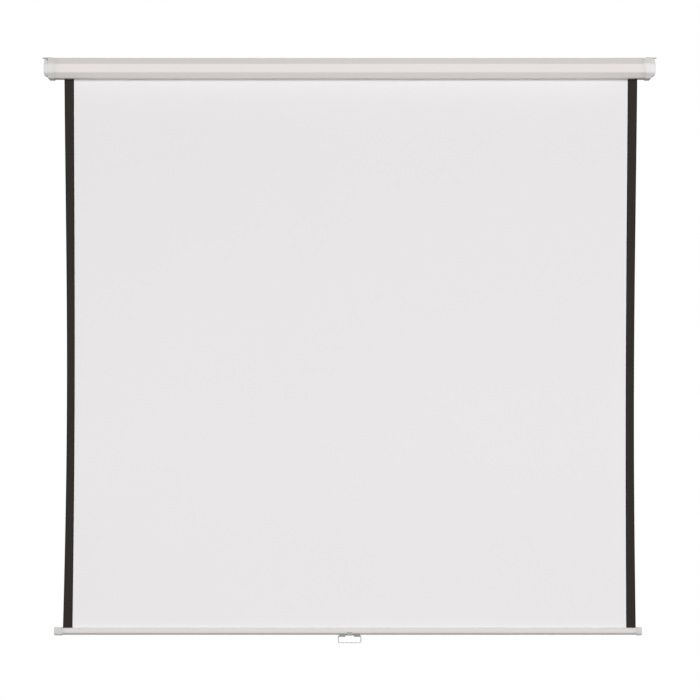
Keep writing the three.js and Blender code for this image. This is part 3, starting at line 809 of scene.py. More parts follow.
@dataclass
class Shell:
    """The corners and faces of a closed mesh in the making, in millimetres."""

    corners: np.ndarray
    faces: list[tuple[int, ...]]

    def __post_init__(self) -> None:
        """Turns the faces outwards."""
        volume = 0.0
        for face in self.faces:
            a = self.corners[face[0]]
            for k in range(1, len(face) - 1):
                volume += float(a @ np.cross(self.corners[face[k]], self.corners[face[k + 1]]))
        if volume < 0:
            self.faces = [tuple(reversed(face)) for face in self.faces]

    def moved(self, x: float, y: float, z: float) -> "Shell":
        """Gives a moved copy."""
        return Shell(self.corners + (x, y, z), self.faces)

    def on_side(self, side: int) -> "Shell":
        """Gives this for the right, or mirrored for the left when the side is -1."""
        return Shell(self.corners * (side, 1, 1), self.faces)

    def swapped(self, *axes: int) -> "Shell":
        """Gives a copy whose X, Y and Z are these of this one's axes."""
        return Shell(self.corners[:, list(axes)], self.faces)

    def piece(self, name: str) -> bpy.types.Object:
        """Makes a Blender object of it, with its doubled corners merged.

        Args:
            name: the piece's name.

        Returns:
            The object, with its place in its mesh.
        """
        mesh = bpy.data.meshes.new(name)
        mesh.from_pydata((self.corners * MM).tolist(), [], self.faces)
        edit = bmesh.new()
        edit.from_mesh(mesh)
        bmesh.ops.remove_doubles(edit, verts=edit.verts, dist=DOUBLED * MM)
        bmesh.ops.dissolve_degenerate(edit, edges=edit.edges, dist=VANISHING * MM)
        edit.to_mesh(mesh)
        edit.free()
        made = bpy.data.objects.new(name, mesh)
        bpy.context.scene.collection.objects.link(made)
        return made


def loft(rings: Sequence[np.ndarray], strip: bool = False) -> Shell:
    """Makes a closed body through rings of equally many points.

    Args:
        rings: the rings, each of points in space.
        strip: closes the ends with a strip between the two halves of a wall's ring.

    Returns:
        The body.
    """
    count = len(rings[0])
    last = (len(rings) - 1) * count
    faces: list[tuple[int, ...]] = []
    for r in range(len(rings) - 1):
        for i in range(count):
            j = (i + 1) % count
            faces.append((r * count + i, r * count + j, (r + 1) * count + j, (r + 1) * count + i))
    if strip:
        for i in range(count // 2 - 1):
            quad = (i, i + 1, count - 2 - i, count - 1 - i)
            faces.append(tuple(reversed(quad)))
            faces.append(tuple(last + k for k in quad))
    else:
        faces.append(tuple(reversed(range(count))))
        faces.append(tuple(range(last, last + count)))
    return Shell(np.concatenate(rings), faces)


def ring_at(x: float | np.ndarray, outline: np.ndarray) -> np.ndarray:
    """Sets an outline of (y, z) points at an x, or at one x for each point."""
    return np.column_stack([np.broadcast_to(x, len(outline)), outline])


def wall_along(outer: np.ndarray, inner: np.ndarray, places: Sequence[float]) -> Shell:
    """Carries a wall's outer and inner chain along X through some places."""
    outline = np.concatenate([outer, inner[::-1]])
    return loft([ring_at(x, outline) for x in places], strip=True)


def turned(profile: Sequence[Point2], centre: Point2 = (0.0, 0.0), segments: int = 48) -> Shell:
    """Makes a body turned about a line along X.

    Args:
        profile: (x, radius) pairs that start and end on the line, or close on themselves.
        centre: where the line is, in y and z.
        segments: how many sides the body has.

    Returns:
        The body.
    """
    corners, faces = [], []
    count = len(profile)
    for k in range(segments):
        c, s = math.cos(2 * math.pi * k / segments), math.sin(2 * math.pi * k / segments)
        corners += [(x, centre[0] + r * c, centre[1] + r * s) for x, r in profile]
        after = (k + 1) % segments
        for i in range(count - 1):
            a, b = k * count + i, after * count + i
            faces.append((a, a + 1, b + 1, b))
    return Shell(np.array(corners, float), faces)


def rod(
    radius: float, start: float, end: float, centre: Point2 = (0.0, 0.0), sides: int = 32
) -> Shell:
    """Makes a plain rod along X."""
    return turned([(start, 0.0), (start, radius), (end, radius), (end, 0.0)], centre, sides)


def block(low: Point3, high: Point3) -> Shell:
    """Makes a box between two corners."""
    (x0, y0, z0), (x1, y1, z1) = low, high
    outline = np.array([(y0, z0), (y1, z0), (y1, z1), (y0, z1)])
    return loft([ring_at(x0, outline), ring_at(x1, outline)])


def swept(path: np.ndarray, radius: float, sides: int = 20) -> Shell:
    """Makes a round bar along a path in the XZ plane.

    Args:
        path: the points that it follows.
        radius: its radius.
        sides: how many sides it has.

    Returns:
        The body.
    """
    rings = []
    turns = [2 * math.pi * k / sides for k in range(sides)]
    for i, point in enumerate(path):
        along = unit(path[min(i + 1, len(path) - 1)] - path[max(i - 1, 0)])
        across = np.array([-along[2], 0.0, along[0]])
        rings.append(np.array([
            point + across * radius * math.cos(turn) + (0.0, radius * math.sin(turn), 0.0)
            for turn in turns
        ]))
    return loft(rings)


def settle(piece: bpy.types.Object) -> bpy.types.Object:
    """Turns a piece and its modifiers into one plain mesh."""
    depsgraph = bpy.context.evaluated_depsgraph_get()
    mesh = bpy.data.meshes.new_from_object(
        piece.evaluated_get(depsgraph), preserve_all_data_layers=True, depsgraph=depsgraph
    )
    old = piece.data
    piece.modifiers.clear()
    piece.data = mesh
    mesh.name = piece.name
    if old.users == 0:
        bpy.data.meshes.remove(old)
    return piece


def carved(name: str, joined: Sequence[Shell], cuts: Sequence[Shell] = ()) -> bpy.types.Object:
    """Joins some bodies into one and cuts others out of it.

    Args:
        name: the piece's name.
        joined: the bodies that make it.
        cuts: the bodies that are taken out.

    Returns:
        The piece, as one plain mesh.
    """
    piece = joined[0].piece(name)
    tools = []
    steps = [(shell, "UNION") for shell in joined[1:]] + [(shell, "DIFFERENCE") for shell in cuts]
    for shell, operation in steps:
        tool = shell.piece("tool")
        modifier = piece.modifiers.new("carve", "BOOLEAN")
        modifier.operation = operation
        modifier.object = tool
        modifier.solver = "EXACT"
        tools.append(tool)
    settle(piece)
    for tool in tools:
        mesh = tool.data
        bpy.data.objects.remove(tool)
        bpy.data.meshes.remove(mesh)
    return piece


def softened(piece: bpy.types.Object, width: float, angle: float = 40.0) -> bpy.types.Object:
    """Rounds a piece's hard edges and shades the rest smooth.

    Args:
        piece: the piece.
        width: how wide the rounding is, or 0 for none.
        angle: the turn in degrees past which an edge counts as hard.

    Returns:
        The same piece.
    """
    if width > 0:
        modifier = piece.modifiers.new("soft edges", "BEVEL")
        modifier.width = width * MM
        modifier.segments = RIM_STEPS
        modifier.limit_method = "ANGLE"
        modifier.angle_limit = math.radians(angle)
        settle(piece)
    piece.data.shade_smooth()
    piece.data.set_sharp_from_angle(angle=math.radians(angle))
    return piece


# Shapes made by geometry nodes


class Former:
    """A geometry tree with named inputs, from which pieces are made."""

    def __init__(self, name: str, sizes: Mapping[str, str]) -> None:
        """Starts a tree.

        Args:
            name: the tree's name.
            sizes: the name of each input, and its kind, such as Float, Int or Object.
        """
        self.tree = bpy.data.node_groups.new(name, "GeometryNodeTree")
        add = self.tree.interface.new_socket
        add("Geometry", in_out="OUTPUT", socket_type="NodeSocketGeometry")
        self.identifiers = {
            size: add(size, in_out="INPUT", socket_type=f"NodeSocket{kind}").identifier
            for size, kind in {**sizes, "Material": "Material"}.items()
        }
        self.graph = Graph(self.tree)
        self.entry = self.graph.node("NodeGroupInput")

    def size(self, name: str) -> Wire:
        """Gives the wire of a named input."""
        return Wire(self.graph, next(s for s in self.entry.outputs if s.name == name))

    def grid(self) -> tuple[Wire, Wire, Wire]:
        """Adds a grid with the tree's Columns and Rows.

        Returns:
            The grid, and each point's place across and up it, from -0.5 to 0.5.
        """
        grid = self.graph.wire("GeometryNodeMeshGrid", "Mesh", None, {
            "Size X": 1.0, "Size Y": 1.0,
            "Vertices X": self.size("Columns") + 1, "Vertices Y": self.size("Rows") + 1,
        })
        place = self.graph.wire("GeometryNodeInputPosition", "Position")
        across, up, _ = self.graph.parts(place)
        return grid, across, up

    def lay(self, grid: Wire, flat_place: Wire, position: Wire) -> None:
        """Lays the grid's points in place, keeps the weave's map, and ends the tree.

        Args:
            grid: the grid.
            flat_place: each point's place on the flat cloth.
            position: where it comes to lie.
        """
        mapped = self.graph.wire(
            "GeometryNodeStoreNamedAttribute", "Geometry",
            {"data_type": "FLOAT2", "domain": "CORNER"},
            {"Geometry": grid, "Name": Cloth.uv_name, "Value": flat_place},
        )
        sockets = {"Geometry": mapped, "Position": position}
        self.close(self.graph.wire("GeometryNodeSetPosition", "Geometry", None, sockets))

    def close(self, geometry: Wire) -> None:
        """Ends the tree: its instances are realized and take their material."""
        whole = self.graph.wire(
            "GeometryNodeRealizeInstances", "Geometry", None, {"Geometry": geometry}
        )
        dressed = {"Geometry": whole, "Material": self.size("Material")}
        done = self.graph.wire("GeometryNodeSetMaterial", "Geometry", None, dressed)
        leave = self.graph.node("NodeGroupOutput")
        self.graph.tree.links.new(done.socket, leave.inputs[0])

    def piece(self, name: str, values: Mapping[str, object], finish: Finishes) -> bpy.types.Object:
        """Makes a plain mesh piece with these sizes.

        Args:
            name: the piece's name.
            values: a value for each of the tree's inputs.
            finish: what it is made of.

        Returns:
            The piece.
        """
        made = bpy.data.objects.new(name, bpy.data.meshes.new(name))
        bpy.context.scene.collection.objects.link(made)
        modifier = made.modifiers.new(self.tree.name, "NODES")
        modifier.node_group = self.tree
        for size, value in {**values, "Material": finish.material()}.items():
            modifier[self.identifiers[size]] = value
        return settle(made)


@dataclass
class Cloth:
    """The sheet's sizes, and the tree that lays a grid over its hanging form."""

    width: float = 1800.0
    thickness: float = 0.4
    top: float = 1.7
    bottom: float = -1756.2
    hang_from: float = -32.0
    drop: float = 1723.0
    plane: float = SHEET_PLANE
    waist_left: float = 9.0
    waist_right: float = 6.0
    waist_band: float = 300.0
    waist_power: float = 7.0
    waist_height: float = 1.22
    curl_depth: float = 9.0
    curl_band: float = 90.0
    ripple: float = 2.0
    ripples_across: float = 2.2
    ripples_down: float = 0.8
    ripple_seed: float = 3.0
    lean_top: float = 3.9
    lean_bottom: float = -0.9
    columns: int = 240
    rows: int = 120

    half_width = 900.0
    seam = 870.0
    uv_name = "weave"

    def hanging(self) -> Former:
        """Builds the tree of a strip of the sheet between two flat distances from its middle.

        Returns:
            The tree, with inputs First, Last, Columns, Top, Bottom, Rows and Depth.
        """
        sizes = {"First": "Float", "Last": "Float", "Columns": "Int", "Rows": "Int"}
        sizes |= {"Top": "Float", "Bottom": "Float", "Depth": "Float"}
        former = Former("hanging sheet", sizes)
        graph = former.graph
        grid, s, t = former.grid()
        flat = former.size("First") + (former.size("Last") - former.size("First")) * (s + 0.5)
        z = former.size("Bottom") + (former.size("Top") - former.size("Bottom")) * (t + 0.5)
        position = self.hung(graph, flat, z, former.size("Depth"))
        former.lay(grid, graph.joined(flat, z, 0.0), position)
        return former

    def hung(self, graph: Graph, flat: Wire, z: Wire, depth: Wire) -> Wire:
        """Gives where a point of the flat sheet hangs.

        Args:
            graph: the tree.
            flat: the point's distance right of the middle.
            z: its height.
            depth: how far it stands behind the sheet's middle plane.

        Returns:
            Its position.
        """
        fall = ((self.hang_from * MM - z) / (self.drop * MM)).share()
        strength = (fall ** self.waist_height * math.pi).sine()
        from_edge = self.half_width * MM - flat.size()
        waist = (1 - from_edge / (self.waist_band * MM)).most(0.0) ** self.waist_power
        curl = (1 - from_edge / (self.curl_band * MM)).most(0.0) ** 2
        right = (flat.sign() + 1) * 0.5
        narrowing = right * (self.waist_right * MM) + (1 - right) * (self.waist_left * MM)
        lean = self.lean_top * MM + fall * ((self.lean_bottom - self.lean_top) * MM)
        x = flat - flat.sign() * narrowing * strength * waist + lean
        spot = graph.joined(flat * self.ripples_across, z * self.ripples_down, 0.0)
        noise = {"Vector": spot, "W": self.ripple_seed, "Scale": 1.0, "Detail": 1.0}
        wave = graph.wire("ShaderNodeTexNoise", "Fac", {"noise_dimensions": "4D"}, noise) - 0.5
        away = curl * (self.curl_depth * MM) + wave * (self.ripple * MM)
        return graph.joined(x, self.plane * MM + depth + strength * away, z)

    def wound(self) -> Former:
        """Builds the tree of the turns that stay on the roller, wound inwards from outside.

        Returns:
            The tree, with inputs Outer, Pitch, Turns, Rows, Columns, Axis Y and Axis Z.
        """
        sizes = {"Outer": "Float", "Pitch": "Float", "Turns": "Float", "Columns": "Int"}
        sizes |= {"Rows": "Int", "Axis Y": "Float", "Axis Z": "Float"}
        former = Former("wound sheet", sizes)
        graph = former.graph
        grid, s, t = former.grid()
        x = s * (self.width * MM) + self.lean_top * MM
        turns = (t + 0.5) * former.size("Turns")
        radius = former.size("Outer") - former.size("Pitch") * turns
        angle = turns * (2 * math.pi)
        y = former.size("Axis Y") + radius * angle.cosine()
        z = former.size("Axis Z") + radius * angle.sine()
        former.lay(grid, graph.joined(x, angle * radius, 0.0), graph.joined(x, y, z))
        return former

    def thickened(
        self, piece: bpy.types.Object, thickness: float, back: Finishes | None = None
    ) -> bpy.types.Object:
        """Gives a laid grid its thickness.

        Args:
            piece: the grid.
            thickness: how thick it gets, about its middle.
            back: the finish of its back and rim, where they differ.

        Returns:
            The same piece as a closed mesh.
        """
        modifier = piece.modifiers.new("thickness", "SOLIDIFY")
        modifier.thickness = thickness * MM
        modifier.offset = 0.0
        if back is not None:
            piece.data.materials.append(back.material())
            modifier.material_offset = 1
            modifier.material_offset_rim = 0
        return softened(settle(piece), 0)


def spring_former() -> Former:
    """Builds the tree of a coil along X.

    Returns:
        The tree, with inputs Radius, Wire, Turns, Length, Steps, Sides and Start.
    """
    sizes = {"Radius": "Float", "Wire": "Float", "Turns": "Float", "Length": "Float"}
    former = Former("coil", {**sizes, "Steps": "Int", "Sides": "Int", "Start": "Vector"})
    graph = former.graph
    coil = graph.wire("GeometryNodeCurveSpiral", "Curve", None, {
        "Resolution": former.size("Steps"), "Rotations": former.size("Turns"),
        "Start Radius": former.size("Radius"), "End Radius": former.size("Radius"),
        "Height": former.size("Length"),
    })
    section = graph.wire("GeometryNodeCurvePrimitiveCircle", "Curve", None, {
        "Resolution": former.size("Sides"), "Radius": former.size("Wire"),
    })
    body = graph.wire("GeometryNodeCurveToMesh", "Mesh", None, {
        "Curve": coil, "Profile Curve": section, "Fill Caps": True,
    })
    laid = graph.wire("GeometryNodeTransform", "Geometry", None, {
        "Geometry": body, "Translation": former.size("Start"), "Rotation": (0.0, math.pi / 2, 0.0),
    })
    former.close(laid)
    return former


@cache
def screw_former() -> Former:
    """Builds the tree that sets copies of one screw in a row.

    Returns:
        The tree, with inputs Screw, Count, Start, Step and Turn.
    """
    sizes = {"Screw": "Object", "Count": "Int", "Start": "Vector", "Step": "Vector"}
    former = Former("screws", {**sizes, "Turn": "Vector"})
    graph = former.graph
    row = graph.wire("GeometryNodeMeshLine", "Mesh", {"mode": "OFFSET"}, {
        "Count": former.size("Count"), "Start Location": former.size("Start"),
        "Offset": former.size("Step"),
    })
    screw = {"Object": former.size("Screw")}
    turn = {"Euler": former.size("Turn")}
    copies = graph.wire("GeometryNodeInstanceOnPoints", "Instances", None, {
        "Points": row,
        "Instance": graph.wire("GeometryNodeObjectInfo", "Geometry", None, screw),
        "Rotation": graph.wire("FunctionNodeEulerToRotation", "Rotation", None, turn),
    })
    former.close(copies)
    return former


@dataclass
class ScrewShape:
    """A pan head screw with a cross recess, along X with its head's seat at x = 0."""

    radius: float = 1.7
    core_share: float = 0.78
    length: float = 8.0
    point: float = 1.2
    first_thread: float = 1.4
    unthreaded: float = 2.0
    pitch: float = 0.8
    neck: float = 0.3
    head_radius: float = 3.2
    head_height: float = 2.0
    head_rim: float = 0.5
    head_slope: float = 0.45
    head_steps: int = 6
    sides: int = 24
    recess: float = 1.2
    arm: float = 0.7
    arm_reach: float = 0.55

    def object(self, name: str) -> bpy.types.Object:
        """Makes the screw that the tree copies, which is removed once it has."""
        core, end = self.radius * self.core_share, -self.length
        profile = [(end, 0.0), (end + self.point, core)]
        for k in range(int((self.length - self.unthreaded) / self.pitch)):
            x = end + self.first_thread + k * self.pitch
            profile += [(x, core), (x + self.pitch / 2, self.radius)]
        profile += [(-self.neck, core), (0.0, self.radius), (0.0, self.head_radius)]
        for rise, away in quarter_round(self.head_steps)[1:]:
            profile.append((
                self.head_rim + (self.head_height - self.head_rim) * rise,
                self.head_radius - self.head_radius * self.head_slope * away,
            ))
        profile.append((self.head_height, 0.0))
        low, top = self.head_height - self.recess, self.head_height + OVERRUN
        arm, reach = self.arm / 2, self.head_radius * self.arm_reach
        cross = [
            block((low, -arm, -reach), (top, arm, reach)),
            block((low, -reach, -arm), (top, reach, arm)),
        ]
        return softened(carved(name, [turned(profile, segments=self.sides)], cross), 0)

    def row(
        self, name: str, finish: Finishes, start: Point3, turn: Point3,
        step: Point3 = (0.0, 0.0, 0.0), count: int = 1,
    ) -> bpy.types.Object:
        """Makes one piece of copies of the screw in a row.

        Args:
            name: the piece's name.
            finish: what the screws are made of.
            start: the place of the first one's seat.
            turn: the turns of each about X, Y and Z.
            step: the way from one to the next.
            count: how many there are.

        Returns:
            The piece.
        """
        screw = self.object("screw")
        row = screw_former().piece(name, {
            "Screw": screw,
            "Count": count,
            "Start": tuple(part * MM for part in start),
            "Step": tuple(part * MM for part in step),
            "Turn": turn,
        }, finish)
        bpy.data.objects.remove(screw)
        return softened(row, 0)


# The object's sub-assemblies


@dataclass
class Assembly:
    """Pieces that belong together, from their meshes to what they stand for."""

    pieces: dict[str, bpy.types.Object] = field(default_factory=dict, init=False)

    def dress(
        self, piece: bpy.types.Object, finish: Finishes | None, body: str, slot: str, *nodes: str
    ) -> bpy.types.Object:
        """Gives a piece its finish, ties it to its body, and hides the solids that it replaces.

        Args:
            piece: the piece.
            finish: what it gets all over, or None where it has its finishes already.
            body: the body that it moves with.
            slot: the record's material slot; not used.
            nodes: the solids that it replaces.

        Returns:
            The same piece.
        """
        if finish is not None:
            piece.data.materials.clear()
            piece.data.materials.append(finish.material())
        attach(piece, body)
        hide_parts(*nodes)
        self.pieces[piece.name] = piece
        return piece


@dataclass
class Case(Assembly):
    """The painted steel case: an open profile with a lip turned in on each side of its slot."""

    end: float = 941.0
    bottom: float = -32.0
    top: float = 32.0
    wall: float = 1.2
    depth: float = 62.0
    top_depth: float = 41.0
    under_depth: float = 45.0
    front_top: float = 9.0
    front_bottom: float = -16.0
    slot_front: float = -18.1
    slot_back: float = -8.1
    lip: float = 4.5
    radii: tuple[float, ...] = (5.0, 8.0, 5.0, 5.0)
    back_radius: float = 2.0
    lip_radius: float = 1.6
    rim: float = 0.2
    sections: int = 13

    def front_corners(self) -> list[Point2]:
        """Gives the four corners of the front, from the underside to the top."""
        return [
            (-self.under_depth, self.bottom),
            (-self.depth, self.front_bottom),
            (-self.depth, self.front_top),
            (-self.top_depth, self.top),
        ]

    def open_corners(self) -> list[Point2]:
        """Gives the chain from the lower back corner round the front to the upper back one."""
        return [(0.0, self.bottom), *self.front_corners(), (0.0, self.top)]

    def build(self) -> None:
        """Makes and dresses the case."""
        corners = [
            (self.slot_front, self.bottom + self.lip),
            (self.slot_front, self.bottom),
            *self.front_corners(),
            (0.0, self.top),
            (0.0, self.bottom),
            (self.slot_back, self.bottom),
            (self.slot_back, self.bottom + self.lip),
        ]
        radii = [self.lip_radius, *self.radii, self.back_radius, self.back_radius, self.lip_radius]
        outer, inner = wall_chains(corners, radii, self.wall)
        places = np.linspace(-self.end, self.end, self.sections)
        body = softened(wall_along(outer, inner, places).piece("case_body"), self.rim)
        self.dress(body, Finishes.CASE, "case", "case_paint", "case_shell")


@dataclass
class EndFittings(Assembly):
    """An end cap, the steel bracket behind it with its hanging ear, and their two screws."""

    case: Case = field(default_factory=Case)
    screw: ScrewShape = field(default_factory=ScrewShape)
    side: int = 1
    wall: float = 2.0
    proud: float = 2.3
    edge: float = 1.4
    edge_steps: int = 4
    cap_rim: float = 0.25
    boss_height: float = 12.2
    boss_top: float = 31.0
    boss_bottom: float = -27.0
    boss_inset: float = 5.0
    boss_back: float = 11.0
    boss_radius: float = 5.0
    boss_steps: int = 8
    boss_corner: float = 10.0
    plate: float = 2.0
    plate_inset: float = 1.7
    plate_rim: float = 0.2
    plate_radius: float = 0.4
    notch_low: float = 22.0
    strap_low: float = 18.0
    strap_bend: float = 0.6
    ear_back: float = 14.0
    ear_width: float = 14.0
    ear_end: float = 964.0
    ear_run: float = 2.0
    ear_corner: float = 4.0
    ear_steps: int = 6
    hole_centre: float = 957.25
    hole_length: float = 8.5
    hole_width: float = 6.5
    hole_sides: int = 32
    bush_hole: float = 5.1
    blade_slot: Point2 = (1.8, 5.3)
    screw_back: float = 5.5
    screw_spread: float = 40.0
    screw_turn: float = 0.6
    bore: float = 2.0
    axis: Point2 = ROLLER_AXIS
    sleeve_step: float = 2.5
    sleeve_turn: Point2 = (5.0, 2.0)
    sleeve_reaches: tuple[float, ...] = (14.0, 14.5, 16.0, 17.0, 24.0, 13.0, 12.0)

    @property
    def word(self) -> str:
        """Says which end this is."""
        return "left" if self.side < 0 else "right"

    @property
    def riser(self) -> float:
        """Gives the outer x of the strap's upright part."""
        return self.case.end + self.wall + self.ear_run + self.plate

    @property
    def ear_top(self) -> float:
        """Gives the height of the ear's upper face."""
        return self.case.top + self.proud

    @property
    def ear_middle(self) -> float:
        """Gives the y of the ear's middle line."""
        return -self.ear_back - self.ear_width / 2

    def carved_here(
        self, name: str, joined: Sequence[Shell], cuts: Sequence[Shell], rim: float
    ) -> bpy.types.Object:
        """Carves a piece out of bodies that are made for the right end, and softens its edges.

        Args:
            name: the piece's name without the end's.
            joined: the bodies that make it.
            cuts: the bodies that are taken out.
            rim: how wide the rounding of its edges is.

        Returns:
            The piece at this end.
        """
        joined, cuts = ([shell.on_side(self.side) for shell in group] for group in (joined, cuts))
        return softened(carved(f"{self.word}_{name}", joined, cuts), rim, HARD_EDGE)

    def bores(self, start: float, end: float) -> list[Shell]:
        """Makes the cutting bodies of the two screws' holes."""
        half = self.screw_spread / 2
        return [rod(self.bore, start, end, (-self.screw_back, z)) for z in (half, -half)]

    def boss_ring(self, x: float, shrink: float) -> np.ndarray:
        """Gives the boss's outline at an x, shrunk by a distance."""
        under, front = -self.case.under_depth, -self.case.depth + self.boss_inset
        back = -self.boss_back
        chain = [
            (back, 0.0),
            (back, self.boss_bottom),
            (under, self.boss_bottom),
            (front, self.case.front_bottom),
            (front, self.case.front_top),
            (-self.case.top_depth + self.boss_inset / 2, self.boss_top),
            (back, self.boss_top),
            (back, 0.0),
        ]
        radius = max(self.boss_corner - shrink, self.wall)
        radii = [radius] * (len(chain) - 2)
        return ring_at(x, filleted(offset_chain(chain, -shrink), radii)[:-1])

    def dome(self, root: float, height: float, inset: float) -> Shell:
        """Makes a dome on the boss's outline.

        Args:
            root: the x where it starts.
            height: how far it stands out of the plate.
            inset: how much smaller than the boss it is all round.

        Returns:
            The dome.
        """
        face = self.case.end + self.wall
        rings = [self.boss_ring(root, inset)]
        for rise, away in quarter_round(self.boss_steps):
            rings.append(self.boss_ring(face + height * rise, inset + self.boss_radius * away))
        return loft(rings)

    def cover_plate(self) -> Shell:
        """Makes the cap's flat plate with its rounded outer edge."""
        face, edge = self.case.end + self.wall, self.edge
        turns = quarter_round(self.edge_steps)
        steps = [(self.case.end, 0.0)]
        steps += [(face - edge * (1 - rise), edge * away) for rise, away in turns]
        rings = []
        for x, inset in steps:
            chain = offset_chain(self.case.open_corners(), self.proud - inset)
            radii = [r + self.proud - inset for r in self.case.radii]
            rings.append(ring_at(x, filleted(chain, radii)))
        return loft(rings)

    def sleeve(self) -> Shell:
        """Makes the sleeve over the case's end, whose inner edge runs forward over the top."""
        chain = offset_chain(self.case.open_corners(), self.proud)
        radii = [r + self.proud for r in self.case.radii]
        outer, inner = wall_chains(chain, radii, self.wall)
        inner = spaced(inner, outer, self.sleeve_step)
        outer = spaced(outer, outer, self.sleeve_step)
        lengths, stops = lengths_along(outer), lengths_along(chain)
        stops *= lengths[-1] / stops[-1]
        before, after = self.sleeve_turn
        at = [*stops[:3], stops[3] - before, stops[3] + after, *stops[4:]]
        reach = np.interp(lengths, at, self.sleeve_reaches)
        start = self.case.end - np.concatenate([reach, reach[::-1]])
        outline = np.concatenate([outer, inner[::-1]])
        end = ring_at(self.case.end + self.wall / 2, outline)
        return loft([ring_at(start, outline), end], strip=True)

    def build_cap(self) -> bpy.types.Object:
        """Makes the end cap."""
        end = self.case.end
        start, stop = self.riser - self.plate - CLEARANCE, self.riser + CLEARANCE
        front = -self.ear_back - self.ear_width - CLEARANCE
        rear, high = -self.ear_back + CLEARANCE, self.boss_top + OVERRUN
        cuts = [
            self.dome(end - OVERRUN, self.boss_height - self.wall, self.wall),
            block((start, front, self.strap_low + self.plate), (stop, rear, high)),
            *self.bores(end - OVERRUN, end + self.wall + OVERRUN),
        ]
        if self.side < 0:
            cuts.append(block((start, -self.case.depth, self.notch_low), (stop, rear, high)))
        boss = self.dome(end + self.wall / 2, self.boss_height, 0.0)
        joined = [self.cover_plate(), self.sleeve(), boss]
        return self.carved_here("cap_moulding", joined, cuts, self.cap_rim)

    def strap(self) -> Shell:
        """Makes the strap from the bracket's plate through the boss to the end of the ear."""
        thick, riser, corner = self.plate, self.riser, self.ear_corner
        chain = [
            (self.case.end - thick, self.strap_low),
            (riser, self.strap_low),
            (riser, self.ear_top - thick),
            (self.ear_end, self.ear_top - thick),
        ]
        bends = [self.strap_bend + thick, self.strap_bend]
        below = filleted(chain, bends, self.ear_steps)
        above = filleted(offset_chain(chain, thick), bends[::-1], self.ear_steps)
        outline = np.concatenate([below, above[::-1]])
        straight = self.ear_width / 2 - corner
        turns = quarter_round(self.ear_steps)[1:]
        halves = [(straight + corner * rise, corner * away) for rise, away in turns]
        rings = []
        for shift, trim in [(-half, trim) for half, trim in reversed(halves)] + halves:
            across = outline[:, 0] - np.where(outline[:, 0] > self.ear_end - corner, trim, 0.0)
            y = np.full(len(outline), self.ear_middle + shift)
            rings.append(np.column_stack([across, y, outline[:, 1]]))
        return loft(rings, strip=True)

    def ear_hole(self) -> Shell:
        """Makes the slotted hole's cutting body, which stands upright through the ear."""
        half, radius = (self.hole_length - self.hole_width) / 2, self.hole_width / 2
        outline = []
        for k in range(self.hole_sides):
            angle = k / self.hole_sides * 2 * math.pi
            shift = half if math.sin(angle) > 0 else -half
            y = self.ear_middle + shift + radius * math.sin(angle)
            outline.append((self.hole_centre + radius * math.cos(angle), y))
        ends = (self.ear_top - self.plate - OVERRUN, self.ear_top + OVERRUN)
        return loft([np.column_stack([outline, np.full(len(outline), z)]) for z in ends])

    def build_bracket(self) -> bpy.types.Object:
        """Makes the steel bracket."""
        end = self.case.end
        start, stop = end - self.plate - OVERRUN, end + OVERRUN
        chain = offset_chain(self.case.open_corners(), -self.plate_inset)
        chain[0][0] = chain[-1][0] = -self.plate_inset
        radii = [max(r - self.plate_inset, self.plate_radius) for r in self.case.radii]
        outline = filleted(chain, radii)
        plate = loft([ring_at(end - self.plate, outline), ring_at(end, outline)])
        bearing = rod(self.bush_hole, start, stop, self.axis)
        if self.side < 0:
            (y, z), (across, low) = self.axis, self.blade_slot
            bearing = block((start, y - across, z - low), (stop, y + across, self.case.top))
        cuts = [bearing, self.ear_hole(), *self.bores(start, stop)]
        return self.carved_here("hanging_bracket", [plate, self.strap()], cuts, self.plate_rim)

    def build(self) -> None:
        """Makes and dresses the cap, the bracket and the screws."""
        word, at_left = self.word, self.side < 0
        # painted shade and light: the left cap gets the darker plastic, the right cap the lighter
        plastic = Finishes.LEFT_CAP if at_left else Finishes.RIGHT_CAP
        self.dress(self.build_cap(), plastic, "case", "cap_plastic", f"{word}_end_cap")
        # painted shade and light: both brackets are one steel, the left given the darker zinc and
        # the right the brighter plate
        steel = Finishes.ZINC if at_left else Finishes.PLATE
        self.dress(self.build_bracket(), steel, "case", "zinc_steel", f"{word}_end_bracket")
        start = ((self.case.end + self.wall) * self.side, -self.screw_back, self.screw_spread / 2)
        turn = (self.screw_turn, 0.0, math.pi if at_left else 0.0)
        step = (0.0, 0.0, -self.screw_spread)
        row = self.screw.row(f"{word}_cap_screws", Finishes.ZINC, start, turn, step, 2)
        nodes = [f"{word}_cap_screw_{k}" for k in (1, 2)]
        self.dress(row, None, "case", "zinc_steel", *nodes)


